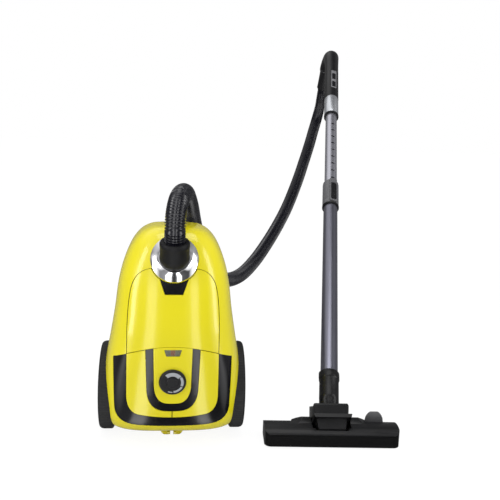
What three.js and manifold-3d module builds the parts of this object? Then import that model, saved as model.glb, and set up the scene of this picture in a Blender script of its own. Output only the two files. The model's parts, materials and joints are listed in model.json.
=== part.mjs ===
// Bagged cylinder vacuum cleaner, stood on end with its hose, telescopic wand and floor nozzle.
// Millimetres, +Z up, floor at z = 0. The canister stands on its rear end: its own forward
// direction points up (+Z) and its wheels' side faces +Y, so that its lid faces -Y.
import * as THREE from 'three';
import { mergeVertices } from 'three/addons/utils/BufferGeometryUtils.js';
import Module from 'manifold-3d';

const wasm = await Module();
wasm.setup();

// ---------------------------------------------------------------- driving dimensions
const SEAT = 0.3; // gap between pieces that touch
const SEAM = 0.6; // visible gap between neighbouring panels
const WALL = 2.8; // housing wall
const PANEL = 3.2; // thickness of the trims, pedals and control panel

// canister stations: height above the floor, half width, height of the top, height of the underside
const STATIONS = [
  [20, 112, 150, 34],
  [27, 124, 178, 18],
  [42, 130, 197, 9],
  [66, 133, 210, 8],
  [105, 134, 220, 8],
  [160, 130, 228, 8],
  [212, 121, 232, 8],
  [262, 113, 228, 8],
  [310, 107, 217, 8],
  [350, 97.5, 201, 14],
  [384, 83, 183, 26],
  [405, 66.5, 168, 40],
  [416, 48, 152, 56],
  [420, 30, 134, 74],
];
const WIDEST_LEVEL = 84; // height over the base at which the housing is widest
const TOP_FULLNESS = 3.3; // superellipse power of the upper half
const BASE_FULLNESS = 5; // superellipse power of the lower half
const SPLIT_LEVEL = 62; // parting plane between base and upper shell

const SEAM_CROWN = 212; // height of the lid's rear seam on the centre line
const SEAM_RADIUS = 225; // radius of that arched seam
const LID_HALF_WIDTH = 83.5;

const INLET_HEIGHT = 366; // inlet centre above the floor
const INLET_SINK = 2.53; // inlet centre below the housing's crown

/** Height of the housing's crown over the base at a station between the given ones. */
function crownAt(height) {
  const next = STATIONS.findIndex(([y]) => y > height);
  const [y0, , top0] = STATIONS[next - 1];
  const [y1, , top1] = STATIONS[next];
  return top0 + ((height - y0) / (y1 - y0)) * (top1 - top0);
}
const LID_FRONT = INLET_HEIGHT - 16; // height at which the lid's side seams meet the inlet ring
const LATCH_FOOT = INLET_HEIGHT - 59.2; // lower edge of the latch
const LATCH_TOP = INLET_HEIGHT - 30;
const LATCH_FOOT_HALF = 15.8;
const LATCH_TOP_HALF = 26.5;
const INLET_LEVEL = crownAt(INLET_HEIGHT) - INLET_SINK; // inlet centre over the base
const INLET_TILT = 26.5; // degrees that the inlet leans forward
const RING_RADIUS = 44; // outer radius of the bright inlet ring
const RING_TOP_RADIUS = 29;
const RING_HEIGHT = 12;
const RING_MARGIN = 1.5; // the lid's bay stays this far off the ring
const PORT_RADIUS = 20; // bore of the inlet socket
const CUFF_TILT = 15; // degrees by which the elbow's cuff leans towards the lid side
const CUFF_RADIUS = 26.8;
const CUFF_LENGTH = 30;

const DIAL_HEIGHT = 145;
const DIAL_LEVEL = 225.5;
const DIAL_TILT = -7;
const DIAL_RADIUS = 25;

const WHEEL_RADIUS = 87.5;
const WHEEL_LEVEL = 86;
const WHEEL_WIDTH = 27;
const WHEEL_OUTER_X = 142;
const WHEEL_CLEARANCE = 3;
const AXLE_RADIUS = 5;

const CASTER_HEIGHT = 330;
const CASTER_WHEEL_RADIUS = 17;
const CASTER_TRAIL = 12;
const CASTER_POCKET_RADIUS = 32;

const HOSE_RADIUS = 19;
const HOSE_BORE = 14.5;
const HOSE_SIDES = 10;
const HOSE_STEPS = 44;

const ELBOW_CENTRE = [315.3, -136.9, 74.9]; // where the wand's axis meets the nozzle's elbow
const WAND_INCLINE = 34.86; // degrees above the floor
const WAND_AZIMUTH = 10.63; // degrees from +Y towards +X
const WAND_ROLL = 16; // degrees that the wand is turned about its own axis

const OUTER_TUBE_RADIUS = 18.1;
const INNER_TUBE_RADIUS = 16.8;
const TUBE_WALL = 1;
const NECK_TOP = 59; // distances along the wand from the elbow's centre
const OUTER_TUBE_START = 44;
const COLLAR_START = 582;
const COLLAR_LENGTH = 98;
const COLLAR_RADIUS = 21.4;
const INNER_TUBE_START = 420;
const NOTCH_START = 692;
const NOTCH_PITCH = 31.7;
const NOTCHES = 9;
const FERRULE_START = 1002;
const FERRULE_LENGTH = 93;
const FERRULE_RADIUS = 21.6;
const GRIP_STRAIGHT = 190; // straight stretch of the grip past the ferrule
const GRIP_RADIUS = 22;
const HEAD_SWELL = 2.5; // extra radius of the handle at its bend

const BUTTON_START = 592;
const BUTTON_LENGTH = 62;
const SLIDER_START = 1136;
const SLIDER_LENGTH = 101;
const HANDLE_CUFF_LENGTH = 75;
const HANDLE_CUFF_GRIP = 30; // stretch of the hose inside the cuff at the handle
const HANDLE_BEND = [[517.6, 943.8, 840.9], [520.5, 960.1, 849.3], [523.5, 984, 853.5],
  [525, 1007.9, 849.3], [525, 1029, 837.1], [524.2, 1041.3, 823.6], [524.2, 1044.2, 819.5]];

const SWAG_INLET_HEIGHT = 366; // inlet height and level for which the points below are drawn
const SWAG_INLET_LEVEL = 190;
const HOSE_SWAG = [[0, -222, 427], [1, -216, 449], [4, -200, 468], [8, -176, 479],
  [13, -146, 483], [18, -112, 479], [27, -50, 452], [38, 50, 402], [52, 115, 345],
  [72, 175.2, 290], [100.2, 242.9, 244.4], [135.7, 318.7, 216.1], [178.8, 409.3, 209.1],
  [229.8, 522.8, 226.6], [281.5, 629.6, 266.1], [328.2, 724.6, 312.7], [367.6, 804.8, 362.2],
  [413.2, 895.6, 441.2], [440.7, 957.7, 493.9], [468.9, 1016.9, 554], [491.6, 1072, 603.8],
  [505.3, 1100, 636.7], [515.3, 1112, 669.6], [521.9, 1112, 705.8]];

const NOZZLE_ORIGIN = [310.8, -209.7, 0]; // middle of the nozzle's front edge on the floor
const NOZZLE_YAW = -3.5;
const NOZZLE_WIDTH = 265;
const NOZZLE_DEPTH = 76;
const HOOD_WIDTH = 74;
const HOOD_PIVOT = [44, 22]; // distance behind the front edge, and height
const HOOD_SWEEP = 32.8; // radius that the hood's front edge sweeps
const HOOD_TILT_STEP = 5; // an eighth of the hood's forward tilt, in degrees
const HOOD_TOP = [0, 66, 59.5]; // middle of the hood's top in the nozzle's frame
const ELBOW_RISE = 17; // elbow's centre over the hood's top
const SPIGOT_RADIUS = 17;
const PIN_RADIUS = 4;
const SWIVEL_TILT = 24; // degrees by which the swivel axis leans back from upright
const PEDAL_X = 91;
const MOUTH_HALF = 105;
const SWEEP_STEPS = 800;

// ---------------------------------------------------------------- colours
const finish = (color, roughness, metalness = 0) =>
  new THREE.MeshStandardMaterial({ color, roughness, metalness });
const YELLOW = finish(0xf3e623, 0.3);
const GLOSS_BLACK = finish(0x0d0d0f, 0.15);
const BLACK = finish(0x17181a, 0.5);
const RUBBER = finish(0x1b1b1b, 0.85);
const CHROME = finish(0xd8dade, 0.08, 1);
const STEEL = finish(0x8b8d96, 0.28, 1);
const SILVER = finish(0xb9bcc4, 0.3, 1);
const GREY = finish(0x77797d, 0.45);
const RED = finish(0xb8321e, 0.4);
const CLEAR = finish(0xc9c29a, 0.1);
const PAPER = finish(0xd9cfb8, 0.9);
const FOAM = finish(0x5a5d60, 0.95);

// ---------------------------------------------------------------- geometry helpers
const DEG = Math.PI / 180;

function solid(geometry) {
  const bare = geometry.clone();
  bare.deleteAttribute('normal');
  bare.deleteAttribute('uv');
  const merged = mergeVertices(bare, 1e-4);
  return new wasm.Manifold(new wasm.Mesh({
    numProp: 3,
    vertProperties: new Float32Array(merged.attributes.position.array),
    triVerts: new Uint32Array(merged.index.array),
  }));
}

function geometryOf(manifold) {
  const mesh = manifold.simplify(0.32).getMesh();
  const geometry = new THREE.BufferGeometry();
  geometry.setAttribute('position', new THREE.BufferAttribute(mesh.vertProperties, 3));
  geometry.setIndex(new THREE.BufferAttribute(mesh.triVerts, 1));
  geometry.computeVertexNormals();
  return geometry;
}

/** Box between two opposite corners. */
function block(x0, x1, y0, y1, z0, z1) {
  const box = new THREE.BoxGeometry(x1 - x0, y1 - y0, z1 - z0);
  return solid(box.translate((x0 + x1) / 2, (y0 + y1) / 2, (z0 + z1) / 2));
}

/** Solid of revolution about Z from a profile of [radius, z] that starts and ends on the axis. */
function turned(profile, segments = 40) {
  const points = profile.map(([r, z]) => new THREE.Vector2(r, z));
  return new THREE.LatheGeometry(points, segments).rotateX(Math.PI / 2);
}

/** Hollow sleeve about Z: outer profile up, bore profile down. */
function sleeve(outer, inner, segments = 40) {
  const loop = [...outer, ...[...inner].reverse(), outer[0]];
  return turned(loop, segments);
}

const rod = (radius, z0, z1, segments = 32) =>
  turned([[0, z0], [radius, z0], [radius, z1], [0, z1]], segments);

const ring = (outer, inner, z0, z1, segments = 40) =>
  sleeve([[outer, z0], [outer, z1]], [[inner, z0], [inner, z1]], segments);

/** Turns a geometry made about Z so that its axis lies along X, Y or a tilt in the YZ plane. */
const alongX = (geometry) => geometry.rotateY(Math.PI / 2);
const alongY = (geometry) => geometry.rotateX(-Math.PI / 2);
const leaned = (geometry, degrees) => geometry.rotateX(-degrees * DEG);

/** Upright prism over an outline drawn in the XY plane. */
function prism(outline, z0, z1, curveSegments = 10) {
  const options = { depth: z1 - z0, bevelEnabled: false, curveSegments };
  return solid(new THREE.ExtrudeGeometry(outline, options).translate(0, 0, z0));
}

/** Plate whose outline is drawn in the YZ plane and that runs from x0 to x1. */
function sidePlate(outline, x0, x1, curveSegments = 8) {
  const options = { depth: x1 - x0, bevelEnabled: false, curveSegments };
  const geometry = new THREE.ExtrudeGeometry(outline, options);
  geometry.rotateX(Math.PI / 2);
  geometry.rotateZ(Math.PI / 2);
  return solid(geometry.translate(x0, 0, 0));
}

function polygon(points) {
  return new THREE.Shape(points.map(([x, y]) => new THREE.Vector2(x, y)));
}

/** Corners of a regular polygon about the origin. */
function circle(radius, sides) {
  return Array.from({ length: sides }, (_, i) => {
    const angle = (i / sides) * 2 * Math.PI;
    return [radius * Math.cos(angle), radius * Math.sin(angle)];
  });
}

function rounded(halfX, halfY, radius, cx = 0, cy = 0) {
  const shape = new THREE.Shape();
  shape.moveTo(cx - halfX + radius, cy - halfY);
  shape.lineTo(cx + halfX - radius, cy - halfY);
  shape.absarc(cx + halfX - radius, cy - halfY + radius, radius, -Math.PI / 2, 0);
  shape.lineTo(cx + halfX, cy + halfY - radius);
  shape.absarc(cx + halfX - radius, cy + halfY - radius, radius, 0, Math.PI / 2);
  shape.lineTo(cx - halfX + radius, cy + halfY);
  shape.absarc(cx - halfX + radius, cy + halfY - radius, radius, Math.PI / 2, Math.PI);
  shape.lineTo(cx - halfX, cy - halfY + radius);
  shape.absarc(cx - halfX + radius, cy - halfY + radius, radius, Math.PI, 1.5 * Math.PI);
  return shape;
}

const moved = (manifold, x, y, z) => manifold.translate([x, y, z]);
const union = (...pieces) => pieces.reduce((sum, piece) => sum.add(piece));

/** Largest of a shape's separate bodies, without the slivers left by a cut. */
const largest = (shape) => shape.decompose()
  .reduce((best, body) => (body.volume() > best.volume() ? body : best));

/** Adds a named piece to a group. */
function addPiece(group, name, shape, material) {
  const geometry = shape.isBufferGeometry ? shape : geometryOf(shape);
  const mesh = new THREE.Mesh(geometry, material);
  mesh.name = name;
  group.add(mesh);
  return mesh;
}

// ---------------------------------------------------------------- canister form
/** Closed body of the housing, drawn in by an inset. Lofted superellipse sections along Y. */
function housingForm(inset, rings = 13, around = 24) {
  const first = STATIONS[0][0];
  const last = STATIONS[STATIONS.length - 1][0];
  const middle = (first + last) / 2;
  const shrink = 1 - inset / (middle - first);
  const widthCurve = new THREE.CatmullRomCurve3(
    STATIONS.map(([y, width, top]) => new THREE.Vector3(width, y, top)), false, 'catmullrom');
  const baseCurve = new THREE.CatmullRomCurve3(
    STATIONS.map(([y, , , base]) => new THREE.Vector3(0, y, base)), false, 'catmullrom');
  const power = (value, exponent) => Math.sign(value) * Math.abs(value) ** (2 / exponent);
  const positions = [];
  for (let i = 0; i <= rings; i += 1) {
    const t = i / rings;
    const { x: width, y, z: top } = widthCurve.getPoint(t);
    const { z: base } = baseCurve.getPoint(t);
    for (let j = 0; j < around; j += 1) {
      const angle = (j / around) * 2 * Math.PI;
      const upper = Math.sin(angle) >= 0;
      const fullness = upper ? TOP_FULLNESS : BASE_FULLNESS;
      const rise = upper ? top - inset - WIDEST_LEVEL : WIDEST_LEVEL - base - inset;
      positions.push(
        (width - inset) * power(Math.cos(angle), fullness),
        middle + (y - middle) * shrink,
        WIDEST_LEVEL + rise * power(Math.sin(angle), fullness));
    }
  }
  return lofted(positions, rings + 1, around);
}

/** Closed mesh over rings of points, with a fan at each end. */
function lofted(positions, ringCount, around) {
  const index = [];
  for (let i = 0; i < ringCount - 1; i += 1) {
    for (let j = 0; j < around; j += 1) {
      const a = i * around + j;
      const b = i * around + ((j + 1) % around);
      const c = a + around;
      const d = b + around;
      index.push(a, c, b, b, c, d);
    }
  }
  const ends = [[0, 1], [(ringCount - 1) * around, -1]];
  for (const [start, side] of ends) {
    const centre = positions.length / 3;
    const sum = [0, 0, 0];
    for (let j = 0; j < around; j += 1) {
      for (let k = 0; k < 3; k += 1) sum[k] += positions[(start + j) * 3 + k] / around;
    }
    positions.push(...sum);
    for (let j = 0; j < around; j += 1) {
      const a = start + j;
      const b = start + ((j + 1) % around);
      if (side > 0) index.push(centre, a, b);
      else index.push(centre, b, a);
    }
  }
  const geometry = new THREE.BufferGeometry();
  geometry.setAttribute('position', new THREE.Float32BufferAttribute(positions, 3));
  geometry.setIndex(index);
  const shape = solid(geometry);
  if (shape.volume() < 0) throw new Error('lofted faces point inwards');
  return shape;
}

const canister = new THREE.Group();
canister.rotation.x = Math.PI / 2; // stands on its rear end

const housing = housingForm(0);
const cavity = housingForm(WALL, 9, 20);
const skin = housing.subtract(cavity);
const panelSkin = housing.subtract(housingForm(PANEL));

// ---------------------------------------------------------------- outlines seen from the lid side
const FAR = 300; // reach of the prisms past the housing

/** Region above the arched seam, where the lid is, raised by a gap. */
function aboveSeam(gap) {
  const shape = new THREE.Shape();
  const centreY = SEAM_CROWN - SEAM_RADIUS + gap;
  const reach = 150;
  const start = Math.acos(reach / SEAM_RADIUS);
  shape.absarc(0, centreY, SEAM_RADIUS, start, Math.PI - start, false);
  shape.lineTo(-reach, FAR * 2);
  shape.lineTo(reach, FAR * 2);
  return prism(shape, 0, FAR, 14);
}

/** One of the nested U outlines round the control panel; grow widens it on every side. */
function controlOutline(u, grow = 0) {
  const shape = new THREE.Shape();
  const { top, side, sideY, cornerX, cornerY, foot, footY, bottom } = u;
  shape.moveTo(-(top + grow), FAR);
  shape.lineTo(-(side + grow), sideY);
  shape.quadraticCurveTo(-(cornerX + grow), cornerY - grow, -foot, footY - grow);
  shape.quadraticCurveTo(0, bottom - grow, foot, footY - grow);
  shape.quadraticCurveTo(cornerX + grow, cornerY - grow, side + grow, sideY);
  shape.lineTo(top + grow, FAR);
  return shape;
}

const TRIM_OUTSIDE = { top: 112, side: 107.8, sideY: 84, cornerX: 106.5, cornerY: 55, foot: 76,
  footY: 50.5, bottom: 45.5 };
const TRIM_INSIDE = { top: 84, side: 85.6, sideY: 112, cornerX: 84.5, cornerY: 75, foot: 58,
  footY: 73, bottom: 63 };
const INNER_OUTSIDE = { top: 52, side: 46.8, sideY: 125, cornerX: 43.5, cornerY: 85, foot: 12,
  footY: 83.4, bottom: 82.6 };
const INNER_INSIDE = { top: 38, side: 34.6, sideY: 132, cornerX: 31, cornerY: 100, foot: 9,
  footY: 98.7, bottom: 98 };
const controlPrism = (outline, grow) => prism(controlOutline(outline, grow), 100, FAR, 6);

/** Outline of the lid above the seam, with the bay round the inlet ring. */
function lidOutline(grow) {
  const shape = new THREE.Shape();
  const half = LID_HALF_WIDTH + grow;
  const bayX = RING_RADIUS + RING_MARGIN - grow;
  const bayY = RING_RADIUS * Math.cos(INLET_TILT * DEG) + RING_MARGIN - grow;
  const mouth = Math.asin((LID_FRONT - INLET_HEIGHT) / bayY);
  shape.moveTo(-half, 150);
  shape.lineTo(-half, 245);
  shape.quadraticCurveTo(-half + 1, 285, -half + 4, 303);
  shape.quadraticCurveTo(-half + 9, LID_FRONT - 4 + grow, -bayX * Math.cos(mouth), LID_FRONT + grow);
  shape.absellipse(0, INLET_HEIGHT, bayX, bayY, Math.PI - mouth, 2 * Math.PI + mouth, false);
  shape.lineTo(bayX * Math.cos(mouth), LID_FRONT + grow);
  shape.quadraticCurveTo(half - 9, LID_FRONT - 4 + grow, half - 4, 303);
  shape.quadraticCurveTo(half - 1, 285, half, 245);
  shape.lineTo(half, 150);
  return shape;
}

/** Latch below the ring: narrower at its foot; its top is cut by the lid's bay. */
function latchOutline(grow) {
  const top = LATCH_TOP_HALF + grow;
  const foot = LATCH_FOOT_HALF + grow;
  return polygon([[-top, LATCH_TOP], [-foot, LATCH_FOOT - grow], [foot, LATCH_FOOT - grow],
    [top, LATCH_TOP]]);
}

// ---------------------------------------------------------------- wheels' wells
/** Round well for a wheel on one side, reaching inwards to innerX. */
function wheelWell(side, radius, innerX) {
  const drum = alongX(rod(radius, innerX, WHEEL_OUTER_X + 20, 24));
  drum.translate(0, WHEEL_RADIUS, WHEEL_LEVEL);
  if (side < 0) drum.rotateZ(Math.PI).translate(0, 2 * WHEEL_RADIUS, 0);
  return solid(drum);
}

const WELL_X = WHEEL_OUTER_X - WHEEL_WIDTH - WHEEL_CLEARANCE; // inner face of the well
const wells = union(
  wheelWell(1, WHEEL_RADIUS + WHEEL_CLEARANCE, WELL_X),
  wheelWell(-1, WHEEL_RADIUS + WHEEL_CLEARANCE, WELL_X));
const wellWalls = union(
  wheelWell(1, WHEEL_RADIUS + WHEEL_CLEARANCE + WALL, WELL_X - WALL),
  wheelWell(-1, WHEEL_RADIUS + WHEEL_CLEARANCE + WALL, WELL_X - WALL));

const axleHoles = [1, -1].map((side) => {
  const hole = alongX(rod(AXLE_RADIUS + SEAT, WELL_X - 20, WELL_X + 5, 14));
  hole.translate(0, WHEEL_RADIUS, WHEEL_LEVEL);
  if (side < 0) hole.rotateZ(Math.PI).translate(0, 2 * WHEEL_RADIUS, 0);
  return solid(hole);
});

// ---------------------------------------------------------------- housing shells
const inletAxis = new THREE.Vector3(0, Math.sin(INLET_TILT * DEG), Math.cos(INLET_TILT * DEG));
const inletCentre = new THREE.Vector3(0, INLET_HEIGHT, INLET_LEVEL);

/** Moves a geometry made about Z onto the inlet axis, at a distance from the inlet centre. */
function onInlet(geometry, distance = 0) {
  leaned(geometry, INLET_TILT);
  const at = inletCentre.clone().addScaledVector(inletAxis, distance);
  return geometry.translate(at.x, at.y, at.z);
}

const RING_LIFT = 3; // height of the ring's foot over the inlet centre
const BALL_DISTANCE = 21; // elbow's ball centre over the inlet centre, along the inlet axis
const HOSE_GRIP = 1.2; // room round the hose in its cuffs
const HOSE_INSET = 9; // start of the hose past the ball's centre
const cuffAxis = new THREE.Vector3(0, Math.cos(CUFF_TILT * DEG), Math.sin(CUFF_TILT * DEG));
const ballCentre = inletCentre.clone().addScaledVector(inletAxis, BALL_DISTANCE);

/** Moves a geometry made about Z onto the cuff's axis, with its zero at the ball's centre. */
function onCuff(geometry) {
  leaned(geometry, 90 - CUFF_TILT);
  return geometry.translate(ballCentre.x, ballCentre.y, ballCentre.z);
}

const BOARD_TOP = 207; // top of the control board over the base
const DIAL_SHAFT = 4;
const POST_PLACES = [[-22, 122, 221], [22, 122, 221], [-22, 172, 227.5], [22, 172, 227.5]];
const BRACKET_LEVEL = 128; // lower face of the bracket's plate over the base
const REST_FOOT_LEVEL = 98;
const OUTLET_X = -92;
const OUTLET_LEVEL = 112;
const OUTLET_RADIUS = 9;
const FAN_BLADES = 9;
const EXHAUST_Y = 95; // middle of the exhaust grille in the underside
const EXHAUST_HALF_X = 44;
const EXHAUST_HALF_Y = 34;

const CASTER_ROOF = 44; // level of the caster pocket's roof
const FOOT_HALF_X = 16;
const FOOT_X = 62;
const FOOT_BEVEL = 2;

function baseShell() {
  const lower = block(-FAR, FAR, -FAR, 2 * FAR, -50, SPLIT_LEVEL - SEAM / 2);
  const pocketWall = solid(rod(CASTER_POCKET_RADIUS + WALL, 0, CASTER_ROOF + WALL, 24)
    .translate(0, CASTER_HEIGHT, 0));
  const pocket = solid(rod(CASTER_POCKET_RADIUS, -10, CASTER_ROOF, 24).translate(0, CASTER_HEIGHT, 0));
  const stemHole = solid(rod(5.5, 0, CASTER_ROOF + 20, 14).translate(0, CASTER_HEIGHT, 0));
  const body = union(skin, housing.intersect(wellWalls), housing.intersect(pocketWall));
  const feet = [-1, 1].map((side) => block(
    side * FOOT_X - FOOT_HALF_X, side * FOOT_X + FOOT_HALF_X, 0, 34, 14, 30));
  const exhaust = prism(rounded(EXHAUST_HALF_X, EXHAUST_HALF_Y, 6, 0, EXHAUST_Y), 0, 12, 4);
  return union(body.intersect(lower), ...feet)
    .subtract(union(wells, pocket, stemHole, exhaust, ...axleHoles));
}

function upperShell() {
  const upper = block(-FAR, FAR, -FAR, 2 * FAR, SPLIT_LEVEL + SEAM / 2, FAR);
  const opening = prism(lidOutline(SEAM), 90, FAR, 12).intersect(aboveSeam(-SEAM / 2));
  const controls = controlPrism(TRIM_OUTSIDE, SEAM).subtract(aboveSeam(0));
  const port = solid(onInlet(rod(PORT_RADIUS + 4, -40, 40, 24)));
  const outlet = solid(alongY(rod(OUTLET_RADIUS, 0, 40, 16)).translate(OUTLET_X, 0, OUTLET_LEVEL));
  return union(skin, housing.intersect(wellWalls)).intersect(upper)
    .subtract(union(wells, opening, controls, port, outlet, ...axleHoles));
}

function lid() {
  const latchBay = prism(latchOutline(SEAM), 100, FAR);
  return skin.intersect(prism(lidOutline(0), 90, FAR, 12)).intersect(aboveSeam(SEAM))
    .subtract(latchBay);
}

const controls = {
  outer_trim: controlPrism(TRIM_OUTSIDE, 0).subtract(controlPrism(TRIM_INSIDE, 0)),
  inner_trim: controlPrism(INNER_OUTSIDE, 0).subtract(controlPrism(INNER_INSIDE, 0)),
  control_panel: controlPrism(INNER_INSIDE, -SEAM),
};
const pedalRegion = controlPrism(TRIM_INSIDE, -SEAM).subtract(controlPrism(INNER_OUTSIDE, SEAM));
const leftHalf = block(-FAR, -SEAM / 2, 0, FAR, 0, FAR);
const rightHalf = block(SEAM / 2, FAR, 0, FAR, 0, FAR);
const belowSeam = (piece) => piece.intersect(panelSkin).subtract(aboveSeam(0));

addPiece(canister, 'base_shell', baseShell(), BLACK);
addPiece(canister, 'upper_shell', upperShell(), YELLOW);
addPiece(canister, 'lid', lid(), YELLOW);
addPiece(canister, 'outer_trim', belowSeam(controls.outer_trim), GLOSS_BLACK);
addPiece(canister, 'inner_trim', belowSeam(controls.inner_trim), GLOSS_BLACK);
const pedalSkin = pedalRegion.intersect(panelSkin).subtract(aboveSeam(-SEAM));
addPiece(canister, 'power_pedal', pedalSkin.intersect(leftHalf), YELLOW);
addPiece(canister, 'rewind_pedal', pedalSkin.intersect(rightHalf), YELLOW);

// ---------------------------------------------------------------- inlet ring, latch and elbow
const inletRing = onInlet(sleeve(
  [[RING_RADIUS, 0], [RING_RADIUS, 2.5], [RING_TOP_RADIUS, RING_HEIGHT]],
  [[PORT_RADIUS + 3 + SEAT, 0], [PORT_RADIUS + 3 + SEAT, RING_HEIGHT]], 28), RING_LIFT);
const socketDepth = 58;
const inletSocket = onInlet(sleeve(
  [[PORT_RADIUS + 3, -socketDepth], [PORT_RADIUS + 3, RING_HEIGHT - 3]],
  [[PORT_RADIUS, -socketDepth], [PORT_RADIUS, RING_HEIGHT - 3]], 20), RING_LIFT);
addPiece(canister, 'inlet_ring', inletRing, CHROME);
addPiece(canister, 'inlet_socket', inletSocket, BLACK);

/** Elbow that turns in the socket: spigot, ball and the cuff that grips the hose. */
function swivelElbow() {
  const spigot = solid(onInlet(rod(PORT_RADIUS - SEAT, -30, BALL_DISTANCE, 16)));
  const ball = solid(onInlet(new THREE.SphereGeometry(CUFF_RADIUS, 14, 7), BALL_DISTANCE));
  const flange = solid(onInlet(
    rod(CUFF_RADIUS, RING_LIFT + RING_HEIGHT + SEAT, BALL_DISTANCE, 16)));
  const cuff = solid(onCuff(turned([[0, 0], [CUFF_RADIUS, 0], [CUFF_RADIUS - 1, CUFF_LENGTH - 2],
    [CUFF_RADIUS - 2.5, CUFF_LENGTH], [0, CUFF_LENGTH]], 16)));
  const hoseSeat = solid(onCuff(rod(HOSE_RADIUS + HOSE_GRIP, HOSE_INSET - 0.6, CUFF_LENGTH + 5, 16)));
  const airway = solid(onCuff(rod(HOSE_BORE, 0, CUFF_LENGTH, 8)));
  const drop = solid(onInlet(rod(HOSE_BORE, -40, BALL_DISTANCE, 8)));
  const turn = solid(onInlet(new THREE.SphereGeometry(HOSE_BORE, 8, 5), BALL_DISTANCE));
  const ringRoom = solid(onInlet(
    ring(90, PORT_RADIUS - SEAT, -40, RING_LIFT + RING_HEIGHT + SEAT, 16)));
  return union(spigot, ball, flange, cuff)
    .subtract(union(hoseSeat, airway, drop, turn, ringRoom));
}
addPiece(canister, 'swivel_elbow', swivelElbow(), BLACK);

/** Latch button below the ring, cut to the shape of the lid's bay. */
function lidLatch() {
  const plate = housingForm(1.5).subtract(housingForm(1.5 + PANEL));
  return plate.intersect(prism(latchOutline(0), 100, FAR)).intersect(prism(lidOutline(0), 90, FAR, 12));
}
addPiece(canister, 'lid_latch', lidLatch(), GLOSS_BLACK);

// ---------------------------------------------------------------- dial, window and control board
function onDial(geometry) {
  leaned(geometry, DIAL_TILT);
  return geometry.translate(0, DIAL_HEIGHT, DIAL_LEVEL);
}

function powerDial() {
  const knob = solid(onDial(turned([[0, 0.8], [DIAL_RADIUS, 0.8], [DIAL_RADIUS, 3.6],
    [DIAL_RADIUS - 1.6, 5.4], [DIAL_RADIUS - 9, 5.8], [DIAL_RADIUS - 10.5, 7.6], [0, 8.4]], 20)));
  const shaft = solid(onDial(rod(DIAL_SHAFT, BOARD_TOP - DIAL_LEVEL + 7, 1.5, 16)));
  return union(knob, shaft);
}

const windowOutline = (grow) => polygon([[-16 - grow, 207 + grow], [-12.2 - grow, 194.5 - grow],
  [12.2 + grow, 194.5 - grow], [16 + grow, 207 + grow]]);

function controlPanel() {
  const face = belowSeam(controls.control_panel)
    .subtract(union(solid(onDial(rod(DIAL_SHAFT + SEAT, -20, 20, 16))),
      prism(windowOutline(0), 200, FAR)));
  const posts = POST_PLACES.map(([x, y, top]) =>
    solid(rod(3, BOARD_TOP + SEAT, top, 12).translate(x, y, 0)));
  const ledge = block(-19, 19, 192.2, 208.5, 222.4, 224.4);
  const walls = [-1, 1].map((side) =>
    block(side * 18 - 1, side * 18 + 1, 192.2, 208.5, 224.4, 229));
  return union(face, ...posts, ledge, ...walls);
}

const windowPane = housingForm(0.6).subtract(housingForm(2.2))
  .intersect(prism(windowOutline(-SEAT), 200, FAR));
const board = union(block(-28, 28, 112, 184, BOARD_TOP - 1.6, BOARD_TOP),
  block(-8, 8, 136, 152, BOARD_TOP, BOARD_TOP + 6));

addPiece(canister, 'control_panel', controlPanel(), YELLOW);
addPiece(canister, 'power_dial', powerDial(), BLACK);
addPiece(canister, 'indicator_window', windowPane, CLEAR);
addPiece(canister, 'indicator_flag', block(-4, 4, 195, 206, 224.7, 225.9), RED);
addPiece(canister, 'control_board', board, GREY);

// ---------------------------------------------------------------- wheels, axles and caster
function wheel(side) {
  const inner = WHEEL_OUTER_X - WHEEL_WIDTH;
  const outer = WHEEL_OUTER_X;
  const profile = [[0, inner + 3], [58, inner + 3], [66, inner], [84, inner],
    [WHEEL_RADIUS, inner + 4], [WHEEL_RADIUS, outer - 7], [80, outer], [71, outer - 2.5],
    [34, outer - 5], [31, outer - 1], [0, outer - 0.5]];
  const tyre = solid(alongX(turned(profile, 22)));
  const bore = solid(alongX(rod(AXLE_RADIUS + SEAT, 0, outer - 8, 14)));
  const piece = tyre.subtract(bore);
  return placeWheel(piece, side);
}

function axle(side) {
  const inner = WELL_X - WALL;
  const profile = [[0, inner - 5.5], [9, inner - 5.5], [9, inner - SEAT], [AXLE_RADIUS, inner - SEAT],
    [AXLE_RADIUS, WHEEL_OUTER_X - 8 - SEAT], [0, WHEEL_OUTER_X - 8 - SEAT]];
  return placeWheel(solid(alongX(turned(profile, 14))), side);
}

function placeWheel(piece, side) {
  const turnedPiece = side < 0 ? piece.rotate([0, 0, 180]) : piece;
  return moved(turnedPiece, 0, WHEEL_RADIUS, WHEEL_LEVEL);
}

for (const [side, word] of [[-1, 'left'], [1, 'right']]) {
  addPiece(canister, `wheel_${word}`, wheel(side), RUBBER);
  addPiece(canister, `axle_${word}`, axle(side), STEEL);
}

const casterAxle = [CASTER_HEIGHT - CASTER_TRAIL, CASTER_WHEEL_RADIUS];

function casterFork() {
  const plate = solid(turned([[0, CASTER_ROOF - 7], [CASTER_POCKET_RADIUS - 3, CASTER_ROOF - 7],
    [CASTER_POCKET_RADIUS - 3, CASTER_ROOF - SEAT], [5, CASTER_ROOF - SEAT],
    [5, CASTER_ROOF + 14], [0, CASTER_ROOF + 14]], 20).translate(0, CASTER_HEIGHT, 0));
  const [y, z] = casterAxle;
  const cheek = polygon([[y - 6, z - 5], [y + 6, z - 5], [y + 26, CASTER_ROOF - 6],
    [y - 10, CASTER_ROOF - 6], [y - 8, z + 6]]);
  const pin = solid(alongX(rod(2.6, -11, 11, 16)).translate(0, y, z));
  return union(plate, sidePlate(cheek, 9.2, 13), sidePlate(cheek, -13, -9.2), pin);
}

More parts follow.
